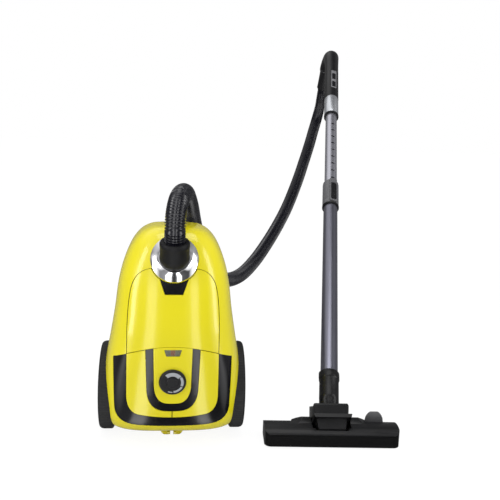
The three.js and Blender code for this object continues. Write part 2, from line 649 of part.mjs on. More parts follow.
function casterWheel() {
  const [y, z] = casterAxle;
  const half = 8.7;
  const profile = [[CASTER_WHEEL_RADIUS - 1.5, -half], [CASTER_WHEEL_RADIUS, 1.5 - half],
    [CASTER_WHEEL_RADIUS, half - 1.5], [CASTER_WHEEL_RADIUS - 1.5, half]];
  const tyre = alongX(sleeve(profile, [[2.9, -half], [2.9, half]], 16));
  return tyre.translate(0, y, z);
}
addPiece(canister, 'caster_fork', casterFork(), BLACK);
addPiece(canister, 'caster_wheel', casterWheel(), GREY);

// ---------------------------------------------------------------- rear end: bracket, feet, outlet
const REAR = STATIONS[0][0]; // height of the rear face above the floor

function parkingBracket() {
  const top = REAR - SEAT;
  const outline = polygon([[-24.5, top], [-22, 7], [-17, 1.2], [-14, 0], [-3, 0], [-3, 5.5],
    [-9, 5.5], [-9, 11.5], [9, 11.5], [9, 5.5], [3, 5.5], [3, 0], [14, 0], [17, 1.2], [22, 7],
    [24.5, top]]);
  const plate = prism(outline, BRACKET_LEVEL, BRACKET_LEVEL + 8);
  return plate.add(block(-23, 23, top - 3, top, BRACKET_LEVEL - 9, BRACKET_LEVEL + 14));
}
addPiece(canister, 'parking_bracket', parkingBracket(), YELLOW);
for (const [side, word] of [[-1, 'left'], [1, 'right']]) {
  const foot = new THREE.ExtrudeGeometry(rounded(FOOT_HALF_X, 7, 5, side * FOOT_X, 0),
    { depth: REAR - SEAT - 2 * FOOT_BEVEL, bevelThickness: FOOT_BEVEL, bevelSize: FOOT_BEVEL,
      bevelSegments: 1, curveSegments: 2 });
  alongY(foot);
  addPiece(canister, `rest_foot_${word}`, foot.translate(0, FOOT_BEVEL, REST_FOOT_LEVEL), RUBBER);
}

const outletBush = sleeve([[12, -1.8], [12, -SEAT], [OUTLET_RADIUS - SEAT, -SEAT],
  [OUTLET_RADIUS - SEAT, 7]], [[4.5, -1.8], [4.5, 7]], 16);
addPiece(canister, 'cord_outlet',
  alongY(outletBush).translate(OUTLET_X, REAR, OUTLET_LEVEL), BLACK);

// ---------------------------------------------------------------- inside the housing
const BULKHEAD_Y = 186;
const MOTOR = { x: 48, z: 96, radius: 50, y0: 70 };
const DRUM = { x0: -100, x1: -56, y: 95, z: 96, radius: 60 };

function bulkhead() {
  const plate = block(-FAR, FAR, BULKHEAD_Y, BULKHEAD_Y + 3, 0, FAR)
    .intersect(housingForm(PANEL + 1.6, 9, 20));
  return plate.subtract(block(-42, 42, BULKHEAD_Y - 5, BULKHEAD_Y + 5, 64, 128));
}
addPiece(canister, 'bulkhead', bulkhead(), BLACK);
addPiece(canister, 'motor_filter',
  block(-48, 48, BULKHEAD_Y + 3 + SEAT, BULKHEAD_Y + 11, 58, 134), FOAM);

function motorHousing() {
  const { radius, y0 } = MOTOR;
  const y1 = BULKHEAD_Y - SEAT;
  const cup = sleeve([[radius, y0], [radius, y1]], [[12, y0], [12, y0 + 4], [radius - 3.5, y0 + 4],
    [radius - 3.5, y1]], 20);
  return placeMotor(cup);
}
const placeMotor = (geometry) => alongY(geometry).translate(MOTOR.x, 0, MOTOR.z);
const motorCore = sleeve([[30, 82], [33, 86], [33, 146], [30, 150], [10, 150], [10, 152]],
  [[3.4, 74], [3.4, 152]], 16);
const corePlug = sleeve([[11.7, 60], [11.7, 82]], [[3.4, 60], [3.4, 82]], 16);
const motorBody = union(solid(placeMotor(motorCore)), solid(placeMotor(corePlug)));

/** Impeller: two discs with curved blades between them, on the motor's shaft. */
function motorFan() {
  const hub = solid(turned([[0, 100], [3, 100], [3, 154], [9, 154], [9, 172], [0, 174]], 12));
  const back = solid(rod(43, 156, 158, 24));
  const blades = [];
  for (let i = 0; i < FAN_BLADES; i += 1) {
    const blade = block(7, 41, -0.9, 0.9, 157, 171);
    blades.push(blade.rotate([0, 0, (i * 360) / FAN_BLADES]));
  }
  const geometry = geometryOf(union(hub, back, ...blades));
  return placeMotor(geometry);
}
addPiece(canister, 'motor_housing', motorHousing(), GREY);
addPiece(canister, 'motor_core', motorBody, STEEL);
addPiece(canister, 'motor_fan', motorFan(), SILVER);

function cableDrum() {
  const { x0, x1, y, z, radius } = DRUM;
  const spool = sleeve([[radius, x0], [radius, x0 + 2.5], [24, x0 + 2.5], [24, x1 - 2.5],
    [radius, x1 - 2.5], [radius, x1]], [[6.4, x0], [6.4, x1]], 20);
  return alongX(spool).translate(0, y, z);
}

function drumFrame() {
  const { x0, x1, y, z } = DRUM;
  const outline = polygon([[y - 42, 14], [y + 42, 14], [y + 16, z + 14], [y - 16, z + 14]]);
  const post = sidePlate(outline, x1 + SEAT, x1 + SEAT + 3);
  const spindle = solid(alongX(rod(6, x0 - 1, x1 + 2, 20)).translate(0, y, z));
  return union(post, spindle);
}
addPiece(canister, 'cable_drum', cableDrum(), GREY);
addPiece(canister, 'drum_frame', drumFrame(), BLACK);

const BAG_START = BULKHEAD_Y + 11.4;

/** Paper bag, filled out: a soft superellipsoid. */
function dustBag() {
  const end = Math.min(CASTER_HEIGHT - 42.6, INLET_HEIGHT - 78.6);
  const half = (end - BAG_START) / 2;
  const bag = new THREE.SphereGeometry(1, 16, 8);
  const at = bag.attributes.position;
  const swell = (value) => Math.sign(value) * Math.abs(value) ** 0.72;
  for (let i = 0; i < at.count; i += 1) {
    at.setXYZ(i, swell(at.getX(i)) * 84, swell(at.getY(i)) * half, swell(at.getZ(i)) * 74);
  }
  return bag.translate(0, BAG_START + half, 94);
}
addPiece(canister, 'dust_bag', solid(dustBag()), PAPER);

function bagHolder() {
  const plate = prism(rounded(42, 33, 6), 0, 3, 4).subtract(solid(rod(PORT_RADIUS, -1, 5, 28)));
  const geometry = geometryOf(plate);
  return onInlet(geometry, RING_LIFT - socketDepth - 3 - SEAT);
}
addPiece(canister, 'bag_holder', bagHolder(), GREY);

const sealRoom = housingForm(WALL + 1.4, 9, 20).subtract(housingForm(WALL + 4.4, 9, 20));
const sealOutside = prism(lidOutline(-4), 90, FAR, 3).intersect(aboveSeam(4));
const sealInside = prism(lidOutline(-8), 80, FAR + 9, 3).intersect(aboveSeam(8));
const sealLoop = sealRoom.intersect(sealOutside).subtract(sealInside);
addPiece(canister, 'lid_seal', largest(sealLoop), RUBBER);

function exhaustGrille() {
  let plate = prism(rounded(EXHAUST_HALF_X - SEAT, EXHAUST_HALF_Y - SEAT, 6, 0, EXHAUST_Y),
    8.3, 10.6, 4);
  for (let i = -4; i <= 4; i += 1) {
    plate = plate.subtract(block(-36, 36, EXHAUST_Y + i * 7 - 1.6, EXHAUST_Y + i * 7 + 1.6, 0, 20));
  }
  return plate;
}
addPiece(canister, 'exhaust_grille', exhaustGrille(), BLACK);
addPiece(canister, 'exhaust_filter', block(-EXHAUST_HALF_X - 4, EXHAUST_HALF_X + 4,
  EXHAUST_Y - EXHAUST_HALF_Y - 4, EXHAUST_Y + EXHAUST_HALF_Y + 4, 14, 22), PAPER);

// ---------------------------------------------------------------- hose
/** Tube swept along a route: outer and inner are lists of [share of the length, radius]. */
function swept(route, outer, inner, around) {
  const curve = new THREE.CatmullRomCurve3(route.map((at) => new THREE.Vector3(...at)),
    false, 'centripetal');
  curve.arcLengthDivisions = SWEEP_STEPS;
  const frames = curve.computeFrenetFrames(SWEEP_STEPS);
  const positions = [];
  for (const [share, radius] of [...outer, ...[...inner].reverse()]) {
    const centre = curve.getPointAt(share);
    const step = Math.round(share * SWEEP_STEPS);
    for (let j = 0; j < around; j += 1) {
      const angle = (j / around) * 2 * Math.PI;
      const spot = centre.clone()
        .addScaledVector(frames.normals[step], radius * Math.cos(angle))
        .addScaledVector(frames.binormals[step], radius * Math.sin(angle));
      positions.push(spot.x, spot.y, spot.z);
    }
  }
  const count = outer.length + inner.length;
  const index = [];
  for (let i = 0; i < count; i += 1) {
    for (let j = 0; j < around; j += 1) {
      const a = i * around + j;
      const b = i * around + ((j + 1) % around);
      const c = ((i + 1) % count) * around + j;
      const d = ((i + 1) % count) * around + ((j + 1) % around);
      index.push(a, b, c, b, d, c);
    }
  }
  const geometry = new THREE.BufferGeometry();
  geometry.setAttribute('position', new THREE.Float32BufferAttribute(positions, 3));
  geometry.setIndex(index);
  return geometry;
}

const toWorld = (v) => [v.x, -v.z, v.y];
const hoseStart = toWorld(ballCentre.clone().addScaledVector(cuffAxis, HOSE_INSET));
const hoseLead = (share) => toWorld(
  ballCentre.clone().addScaledVector(cuffAxis, HOSE_INSET + 2 * HOSE_RADIUS * share));

const tailStart = new THREE.Vector3(...HANDLE_BEND[HANDLE_BEND.length - 1]);
const tailAxis = tailStart.clone().sub(new THREE.Vector3(...HANDLE_BEND[HANDLE_BEND.length - 2]))
  .normalize();
const onTail = (distance) => tailStart.clone().addScaledVector(tailAxis, distance).toArray();
const inletRise = INLET_HEIGHT - SWAG_INLET_HEIGHT;
const inletShift = INLET_LEVEL - SWAG_INLET_LEVEL;
const swag = HOSE_SWAG.map(([x, y, z], i) => {
  const share = Math.max(0, 1 - i / 12);
  return [x, y - inletShift * share, z + inletRise * share];
});
const HOSE_ROUTE = [hoseStart, hoseLead(0.5), hoseLead(1), ...swag,
  onTail(HANDLE_CUFF_LENGTH + 20), onTail(HANDLE_CUFF_LENGTH), onTail(HANDLE_CUFF_LENGTH - 15),
  onTail(HANDLE_CUFF_LENGTH - HANDLE_CUFF_GRIP)];

/** Plain tube of the hose's outer and inner radius along its route. */
function hoseTube() {
  const path = new THREE.CatmullRomCurve3(HOSE_ROUTE.map((at) => new THREE.Vector3(...at)),
    false, 'centripetal');
  path.arcLengthDivisions = SWEEP_STEPS;
  const section = polygon(circle(HOSE_RADIUS, HOSE_SIDES));
  section.holes.push(polygon(circle(HOSE_BORE, HOSE_SIDES)));
  return solid(new THREE.ExtrudeGeometry(section,
    { steps: HOSE_STEPS, extrudePath: path, bevelEnabled: false }));
}

// ---------------------------------------------------------------- wand and handle
const wandMatrix = new THREE.Matrix4()
  .makeTranslation(...ELBOW_CENTRE)
  .multiply(new THREE.Matrix4().makeRotationZ(-WAND_AZIMUTH * DEG))
  .multiply(new THREE.Matrix4().makeRotationX(-(90 - WAND_INCLINE) * DEG))
  .multiply(new THREE.Matrix4().makeRotationZ(WAND_ROLL * DEG));
const nozzleMatrix = new THREE.Matrix4()
  .makeTranslation(...NOZZLE_ORIGIN)
  .multiply(new THREE.Matrix4().makeRotationZ(NOZZLE_YAW * DEG));
const alongWand = (distance) =>
  new THREE.Vector3(0, 0, distance).applyMatrix4(wandMatrix).toArray();

const part = new THREE.Group();
part.add(canister);
part.position.set(FOOT_X, REST_FOOT_LEVEL, 0); // the left rest foot stands at the origin

function addWand(name, shape, material) {
  const geometry = shape.isBufferGeometry ? shape : geometryOf(shape);
  addPiece(part, name, geometry.applyMatrix4(wandMatrix), material);
}

function addNozzle(name, shape, material) {
  const geometry = shape.isBufferGeometry ? shape : geometryOf(shape);
  addPiece(part, name, geometry.applyMatrix4(nozzleMatrix), material);
}

addPiece(part, 'hose', hoseTube(), BLACK);

const outerTube = ring(OUTER_TUBE_RADIUS, OUTER_TUBE_RADIUS - TUBE_WALL, OUTER_TUBE_START,
  COLLAR_START + 24, 20);
addWand('outer_tube', outerTube, STEEL);

function telescopeCollar() {
  const bore = INNER_TUBE_RADIUS + SEAT;
  const seat = OUTER_TUBE_RADIUS + SEAT;
  const top = COLLAR_START + COLLAR_LENGTH;
  const body = solid(sleeve([[COLLAR_RADIUS, COLLAR_START + 5], [COLLAR_RADIUS, top - 3],
    [COLLAR_RADIUS - 2, top]], [[seat, COLLAR_START + 5], [seat, COLLAR_START + 24.3],
    [bore, COLLAR_START + 24.3], [bore, top]], 24));
  const saddle = block(-9.5, 9.5, -26, -18, COLLAR_START + 5, top - 1);
  const inside = solid(rod(19.6, COLLAR_START, top + 5, 24));
  const pocket = block(-7.3, 7.3, -30, -20.6, BUTTON_START, BUTTON_START + BUTTON_LENGTH + 5);
  return union(body, saddle.subtract(inside)).subtract(pocket);
}
addWand('telescope_collar', telescopeCollar(), GREY);
addWand('collar_ring', ring(COLLAR_RADIUS + 0.6, OUTER_TUBE_RADIUS + SEAT, COLLAR_START,
  COLLAR_START + 5 - SEAT, 24), BLACK);
const buttonOutline = rounded(7, BUTTON_LENGTH / 2, 4, 0, BUTTON_START + SEAT + BUTTON_LENGTH / 2);
const button = prism(buttonOutline, 20.9, 28.5, 4);
addWand('release_button', geometryOf(button).rotateX(Math.PI / 2), BLACK);

function innerTube() {
  const tube = solid(ring(INNER_TUBE_RADIUS, INNER_TUBE_RADIUS - 1.6, INNER_TUBE_START,
    FERRULE_START + 46, 20));
  const notches = [];
  for (let i = 0; i < NOTCHES; i += 1) {
    const z = NOTCH_START + i * NOTCH_PITCH;
    notches.push(block(-5, 5, -20, -16, z - 2.5, z + 2.5));
  }
  return tube.subtract(union(...notches));
}
addWand('inner_tube', innerTube(), SILVER);
addWand('ferrule', sleeve([[FERRULE_RADIUS, FERRULE_START + 5],
  [FERRULE_RADIUS, FERRULE_START + FERRULE_LENGTH]], [[INNER_TUBE_RADIUS + SEAT, FERRULE_START + 5],
  [INNER_TUBE_RADIUS + SEAT, FERRULE_START + FERRULE_LENGTH]], 24), SILVER);
addWand('ferrule_ring', ring(FERRULE_RADIUS + 0.6, INNER_TUBE_RADIUS + SEAT, FERRULE_START,
  FERRULE_START + 5 - SEAT, 24), BLACK);

const GRIP_START = FERRULE_START + FERRULE_LENGTH + SEAT;
const HANDLE_ROUTE = [alongWand(FERRULE_START + 50), alongWand(GRIP_START - 20),
  alongWand(GRIP_START + 60), alongWand(GRIP_START + GRIP_STRAIGHT), ...HANDLE_BEND];
const handleSpan = new THREE.CatmullRomCurve3(HANDLE_ROUTE.map((at) => new THREE.Vector3(...at)),
  false, 'centripetal').getLength();
const onHandle = (distance) => (distance - FERRULE_START - 50) / handleSpan;

function handle() {
  const spigot = INNER_TUBE_RADIUS;
  const rings = [[0, spigot], [onHandle(GRIP_START), spigot],
    [onHandle(GRIP_START) + 2 / SWEEP_STEPS, GRIP_RADIUS], [onHandle(GRIP_START + 90), GRIP_RADIUS],
    [onHandle(GRIP_START + GRIP_STRAIGHT), GRIP_RADIUS]];
  for (let i = 1; i <= 8; i += 1) {
    const start = onHandle(GRIP_START + GRIP_STRAIGHT);
    rings.push([start + (1 - start) * (i / 8), GRIP_RADIUS + HEAD_SWELL * Math.min(1, i / 4)]);
  }
  const bores = [0, 0.6, 0.7, 0.76, 0.82, 0.88, 0.94, 1].map((u) => [u, HOSE_BORE]);
  return solid(swept(HANDLE_ROUTE, rings, bores, 12));
}
const slideWindow = geometryOf(block(-4, 4, -24, -12, SLIDER_START + 30, SLIDER_START + 60))
  .applyMatrix4(wandMatrix);
addPiece(part, 'handle', handle().subtract(solid(slideWindow)), BLACK);

function bypassSlider() {
  const z0 = SLIDER_START;
  const z1 = SLIDER_START + SLIDER_LENGTH;
  const shell = solid(ring(GRIP_RADIUS + 2.6, GRIP_RADIUS + 2 * SEAT, z0, z1, 32));
  return shell.intersect(block(-8.5, 8.5, -30, 0, z0, z1));
}
addWand('bypass_slider', bypassSlider(), BLACK);

/** Cuff between the handle's end and the hose. */
const tailTurn = new THREE.Matrix4().makeRotationFromQuaternion(
  new THREE.Quaternion().setFromUnitVectors(new THREE.Vector3(0, 0, 1), tailAxis));
tailTurn.setPosition(tailStart);
const hoseStop = HANDLE_CUFF_LENGTH - HANDLE_CUFF_GRIP; // the hose's end in the cuff
const hoseCuff = sleeve([[GRIP_RADIUS + HEAD_SWELL, SEAT], [GRIP_RADIUS + HEAD_SWELL, 4],
  [GRIP_RADIUS, 6], [GRIP_RADIUS + 1, HANDLE_CUFF_LENGTH]],
  [[HOSE_BORE, SEAT], [HOSE_BORE, hoseStop - SEAT], [HOSE_RADIUS + HOSE_GRIP, hoseStop - SEAT],
  [HOSE_RADIUS + HOSE_GRIP, HANDLE_CUFF_LENGTH]], 20);
addPiece(part, 'hose_cuff', hoseCuff.applyMatrix4(tailTurn), BLACK);

// ---------------------------------------------------------------- elbow, hood and nozzle
const swivelMatrix = nozzleMatrix.clone()
  .multiply(new THREE.Matrix4().makeTranslation(...HOOD_TOP))
  .multiply(new THREE.Matrix4().makeRotationX(-SWIVEL_TILT * DEG));

function nozzleNeck() {
  const neck = solid(sleeve([[20, 0], [20, NECK_TOP - 18], [21.2, NECK_TOP - 17], [21.2, NECK_TOP]],
    [[HOSE_BORE, 0], [HOSE_BORE, OUTER_TUBE_START - SEAT],
      [OUTER_TUBE_RADIUS + 2 * SEAT, OUTER_TUBE_START - SEAT],
      [OUTER_TUBE_RADIUS + 2 * SEAT, NECK_TOP]], 14)
    .applyMatrix4(wandMatrix));
  const ball = solid(new THREE.SphereGeometry(20, 14, 7).translate(...ELBOW_CENTRE));
  const spigot = solid(turned([[0, -12], [SPIGOT_RADIUS, -12], [SPIGOT_RADIUS, SEAT],
    [20.5, SEAT], [20.5, 3], [20, 5], [20, ELBOW_RISE], [0, ELBOW_RISE]], 16)
    .applyMatrix4(swivelMatrix));
  const bore = union(
    solid(new THREE.SphereGeometry(HOSE_BORE, 8, 5).translate(...ELBOW_CENTRE)),
    solid(rod(HOSE_BORE, 0, OUTER_TUBE_START, 8).applyMatrix4(wandMatrix)),
    solid(rod(HOSE_BORE, -20, ELBOW_RISE, 8).applyMatrix4(swivelMatrix)));
  return union(neck, ball, spigot).subtract(bore);
}
addPiece(part, 'nozzle_neck', nozzleNeck(), BLACK);

const HOOD_SIDE = [[14.3, 35.1], [39.5, 74], [42, 76], [45.2, 75.2], [46.2, 68.3], [86, 50.6],
  [80, 34], [66, 15.5], [40, 15.5], [22, 22], [14.3, 29]];
const HOOD_ROOM = [[17.8, 34.5], [40.5, 69], [45, 65.4], [82, 49], [76.5, 35.5], [63.5, 18], [63, 0],
  [40, 0], [24, 24]];
const inverseNozzle = nozzleMatrix.clone().invert();
const [PIVOT_Y, PIVOT_Z] = HOOD_PIVOT;

function hood() {
  const half = HOOD_WIDTH / 2;
  const plan = polygon([[-26, 13], [-half, 48], [-half, 90], [half, 90], [half, 48], [26, 13]]);
  const room = polygon([[-23, 13], [-half + 3, 48], [-half + 3, 87], [half - 3, 87],
    [half - 3, 48], [23, 13]]);
  const face = polygon([[-half, 0], [half, 0], [half, 58], [half - 2.5, 77], [2.5 - half, 77],
    [-half, 58]]);
  const outside = sidePlate(polygon(HOOD_SIDE), -half, half)
    .intersect(prism(plan, 0, 90)).intersect(frontPlate(face, 0, 95));
  const inside = sidePlate(polygon(HOOD_ROOM), -half, half).intersect(prism(room, -1, 90));
  const pins = solid(alongX(rod(PIN_RADIUS, -half - 9, half + 9, 16))
    .translate(0, PIVOT_Y, PIVOT_Z));
  const pinRoom = solid(alongX(rod(PIN_RADIUS + 2, -half + 3, half - 3, 16))
    .translate(0, PIVOT_Y, PIVOT_Z));
  const bore = solid(rod((SPIGOT_RADIUS + SEAT) / Math.cos(Math.PI / 16), -14, 20, 16)
    .applyMatrix4(swivelMatrix).applyMatrix4(inverseNozzle));
  return union(outside, pins.subtract(pinRoom)).subtract(union(inside.subtract(pins), bore));
}

/** Plate whose outline is drawn in the XZ plane and that runs from y0 to y1. */
function frontPlate(outline, y0, y1) {
  const options = { depth: y1 - y0, bevelEnabled: false, curveSegments: 6 };
  return solid(new THREE.ExtrudeGeometry(outline, options).rotateX(Math.PI / 2)
    .translate(0, y1, 0));
}

const NOZZLE_SIDE = [[0, 3], [0, 25], [3, 30], [14, 36], [28, 38.2], [46, 36], [62, 30], [72, 23],
  [NOZZLE_DEPTH, 18], [NOZZLE_DEPTH, 5], [74, 3]];
const NOZZLE_ROOM = [[2.5, 0], [2.5, 24], [5, 27.6], [15, 33.2], [28, 35.4], [45, 33.3], [60, 27.6],
  [70, 21], [73.5, 17], [73.5, 0]];

function nozzleHousing() {
  const half = NOZZLE_WIDTH / 2;
  const middle = NOZZLE_DEPTH / 2;
  const outside = sidePlate(polygon(NOZZLE_SIDE), -half, half)
    .intersect(prism(rounded(half, middle, 14, 0, middle), 0, 60, 5));
  const room = sidePlate(polygon(NOZZLE_ROOM), -half, half)
    .intersect(prism(rounded(half - 2.5, middle - 2.5, 12, 0, middle), -1, 60, 5))
    .subtract(block(-41, 41, PIVOT_Y - HOOD_SWEEP - 3, 80, 7, 16)
      .add(block(-41, 41, PIVOT_Y - HOOD_SWEEP - 5, 80, 16, 60)));
  const bay = block(-38, 38, PIVOT_Y, 90, 7, 80)
    .add(solid(alongX(rod(HOOD_SWEEP, -38, 38, 40)).translate(0, PIVOT_Y, PIVOT_Z)))
    .intersect(block(-38, 38, 0, 90, 7, 80));
  const front = sidePlate(polygon([[13.4, 26], [13.4, 35.4], [38.4, 75], [46, 75], [46, 26]]), -38, 38)
    .intersect(prism(polygon([[-27.5, 12], [-38, 46.5], [38, 46.5], [27.5, 12]]), 0, 90));
  const tilts = [1, 2, 3, 4, 5, 6, 7, 8].map((step) => front
    .translate([0, -PIVOT_Y, -PIVOT_Z]).rotate([step * HOOD_TILT_STEP, 0, 0])
    .translate([0, PIVOT_Y, PIVOT_Z]));
  const bossSide = polygon([[30, 12], [30, 38], [38, 42.5], [46, 44], [54, 42.5], [62, 36], [66, 30],
    [66, 12]]);
  const slope = frontPlate(polygon([[0, 0], [0, 50], [46.8, 50], [78, 30.6], [78, 0]]), 0, 90);
  const mirror = (piece) => union(piece, piece.mirror([1, 0, 0]));
  const bosses = mirror(sidePlate(bossSide, 38, 76).intersect(slope));
  const pinHoles = mirror(solid(alongX(rod(PIN_RADIUS + SEAT, 36, HOOD_WIDTH / 2 + 10, 16))
    .translate(0, PIVOT_Y, PIVOT_Z)));
  const pedalSlot = block(PEDAL_X - 19.2, PEDAL_X + 19.2, 54.9, 61.6, 8, 60);
  return union(outside.subtract(room), bosses)
    .subtract(union(bay, pinHoles, pedalSlot, ...tilts));
}

function solePlate() {
  const half = NOZZLE_WIDTH / 2 - 2.5 - SEAT;
  const plate = prism(rounded(half, 31.6, 12, 0, 41.6), 3, 6, 5);
  const mouth = block(-MOUTH_HALF, MOUTH_HALF, 24, 44, 0, 10);
  const rearSlot = block(-76.3, 76.3, 51.7, 58.3, 0, 10);
  const wells = [-1, 1].map((side) => block(side * 92 - 9, side * 92 + 9, 56, 71, 0, 10));
  return plate.subtract(union(mouth, rearSlot, ...wells));
}

function roller(side) {
  const x = side * 92;
  const wheelShape = turned([[0, -8], [2, -8], [2, -7.6], [7, -7.6], [7, 7.6], [2, 7.6], [2, 8],
    [0, 8]], 10);
  return alongX(wheelShape).translate(x, 63.5, 7);
}

function nozzlePedal() {
  const outline = polygon([[-18, 20], [-18.5, 33], [-17.5, 40], [-10.5, 51], [-8.5, 53], [8.5, 53],
    [10.5, 51], [17.5, 40], [18.5, 33], [18, 20]]);
  return moved(frontPlate(outline, 55.3, 61.2), PEDAL_X, 0, 0);
}

addNozzle('hood', hood(), BLACK);
addNozzle('nozzle_housing', nozzleHousing(), BLACK);
addNozzle('sole_plate', solePlate(), BLACK);
addNozzle('front_brush', block(-112, 112, 3.5, 7.7, 3, 14), RUBBER);
addNozzle('rear_brush', block(-76, 76, 52, 58, 3, 6.7), RUBBER);
addNozzle('sole_glide', block(-100, 100, 14, 20, 0, 2.7), GREY);
addNozzle('roller_left', roller(-1), GREY);
addNozzle('roller_right', roller(1), GREY);
addNozzle('nozzle_pedal', nozzlePedal(), GREY);

export default part;
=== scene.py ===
"""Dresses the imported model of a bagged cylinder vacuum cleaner: canister, hose, wand and nozzle.

Shapes are drawn in millimetres in the frame of the assembly that they belong to, and are then
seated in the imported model's frame, in metres, with +Z up and the floor at zero.
"""
from __future__ import annotations

import json
import logging
import math
from dataclasses import dataclass
from enum import Enum
from typing import Iterable, Mapping, Sequence

import bpy
from mathutils import Matrix, Quaternion, Vector

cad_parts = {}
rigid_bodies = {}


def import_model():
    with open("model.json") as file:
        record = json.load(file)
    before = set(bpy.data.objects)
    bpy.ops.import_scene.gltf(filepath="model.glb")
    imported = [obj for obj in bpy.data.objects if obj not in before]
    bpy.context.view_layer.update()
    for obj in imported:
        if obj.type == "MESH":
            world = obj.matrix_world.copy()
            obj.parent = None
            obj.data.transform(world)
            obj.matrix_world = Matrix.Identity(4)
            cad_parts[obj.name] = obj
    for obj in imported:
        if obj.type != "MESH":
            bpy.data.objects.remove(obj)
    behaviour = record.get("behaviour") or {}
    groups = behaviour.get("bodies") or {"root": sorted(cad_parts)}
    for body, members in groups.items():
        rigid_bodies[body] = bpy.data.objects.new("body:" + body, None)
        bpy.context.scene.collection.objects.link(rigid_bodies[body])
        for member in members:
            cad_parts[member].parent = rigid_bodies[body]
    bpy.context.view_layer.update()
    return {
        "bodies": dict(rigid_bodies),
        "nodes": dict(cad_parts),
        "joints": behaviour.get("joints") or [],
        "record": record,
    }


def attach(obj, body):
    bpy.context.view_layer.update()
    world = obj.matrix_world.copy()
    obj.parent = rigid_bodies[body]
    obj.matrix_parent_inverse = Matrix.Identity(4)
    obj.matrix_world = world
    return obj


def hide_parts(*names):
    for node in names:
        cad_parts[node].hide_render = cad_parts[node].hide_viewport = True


LOG = logging.getLogger("vacuum_cleaner")
MM = 0.001
FAR = 300.0  # clear of the canister's sides and front, for cutters; twice that clears its top
# Where the canister's middle plane meets its base plane and the floor, in metres.
MIDDLE = Vector((0.062, 0.098, 0.0))

Point = Sequence[float]
Outline = list[tuple[float, float]]
Bands = tuple[tuple[float, float], ...]


# ------------------------------------------------------------------ frames of the assemblies
def frame_at(place: Point, *turns: Matrix) -> Matrix:
    """Frame in millimetres at a place given from the canister's middle.

    Args:
        place: where the frame's origin is, in millimetres.
        turns: rotations, the outermost first.

    Returns:
        The matrix that seats a shape drawn in that frame.
    """
    matrix = Matrix.Translation(MIDDLE + Vector(place) * MM)
    for rotation in turns:
        matrix = matrix @ rotation
    return matrix @ Matrix.Scale(MM, 4)


def turn(degrees: float, axis: str) -> Matrix:
    """Rotation by degrees about a named axis."""
    return Matrix.Rotation(math.radians(degrees), 4, axis)


def lean(degrees: float) -> Matrix:
    """Rotation that leans +Z towards +Y."""
    return turn(-degrees, "X")


def shift(x: float, y: float, z: float) -> Matrix:
    """Move in the units of the frame that it is used in."""
    return Matrix.Translation((x, y, z))


WORLD = frame_at((0, 0, 0))
MACHINE = frame_at((0, 0, 0), turn(90, "X"))  # y is the height above the floor, z is over the base
INLET_LEVEL = 366.0  # height of the inlet ring's middle on the machine
INLET_SEAT = (0.0, INLET_LEVEL, 190.0)
INLET_TILT = 26.5
BALL_DISTANCE = 21.0  # from the ring's middle out to the elbow's
INLET = MACHINE @ shift(*INLET_SEAT) @ lean(INLET_TILT)
CUFF_TILT = 15.0
CUFF = INLET @ shift(0, 0, BALL_DISTANCE) @ lean(90 - CUFF_TILT - INLET_TILT)
DIAL_SEAT, DIAL_TILT = (0.0, 145.0, 225.5), -7.0
DIAL = MACHINE @ shift(*DIAL_SEAT) @ lean(DIAL_TILT)
ELBOW_CENTRE = (315.3, -136.9, 74.9)
WAND_HEADING, WAND_SLOPE, WAND_ROLL = -10.63, 34.86, 16.0
WAND = frame_at(ELBOW_CENTRE, turn(WAND_HEADING, "Z"), lean(90 - WAND_SLOPE),
                turn(WAND_ROLL, "Z"))
NOZZLE_PLACE, NOZZLE_HEADING = (310.8, -209.7, 0.0), -3.5
NOZZLE = frame_at(NOZZLE_PLACE, turn(NOZZLE_HEADING, "Z"))
SWIVEL_SEAT, SWIVEL_TILT = (0.0, 66.0, 59.5), 24.0
SWIVEL = NOZZLE @ shift(*SWIVEL_SEAT) @ lean(SWIVEL_TILT)
HANDLE_BEND = ((517.6, 943.8, 840.9), (520.5, 960.1, 849.3), (523.5, 984, 853.5),
               (525, 1007.9, 849.3), (525, 1029, 837.1), (524.2, 1041.3, 823.6),
               (524.2, 1044.2, 819.5))
TAIL_AXIS = Vector(HANDLE_BEND[-1]) - Vector(HANDLE_BEND[-2])
# Runs down from the handle's end, along the hose.
TAIL = frame_at(HANDLE_BEND[-1],
                Vector((0, 0, 1)).rotation_difference(TAIL_AXIS).to_matrix().to_4x4())
FACE_ON = turn(90, "X")  # stands a plate drawn in XY upright, facing -Y
SIDE_ON = turn(90, "Z") @ turn(90, "X")  # drawn x runs along Y, drawn y along Z


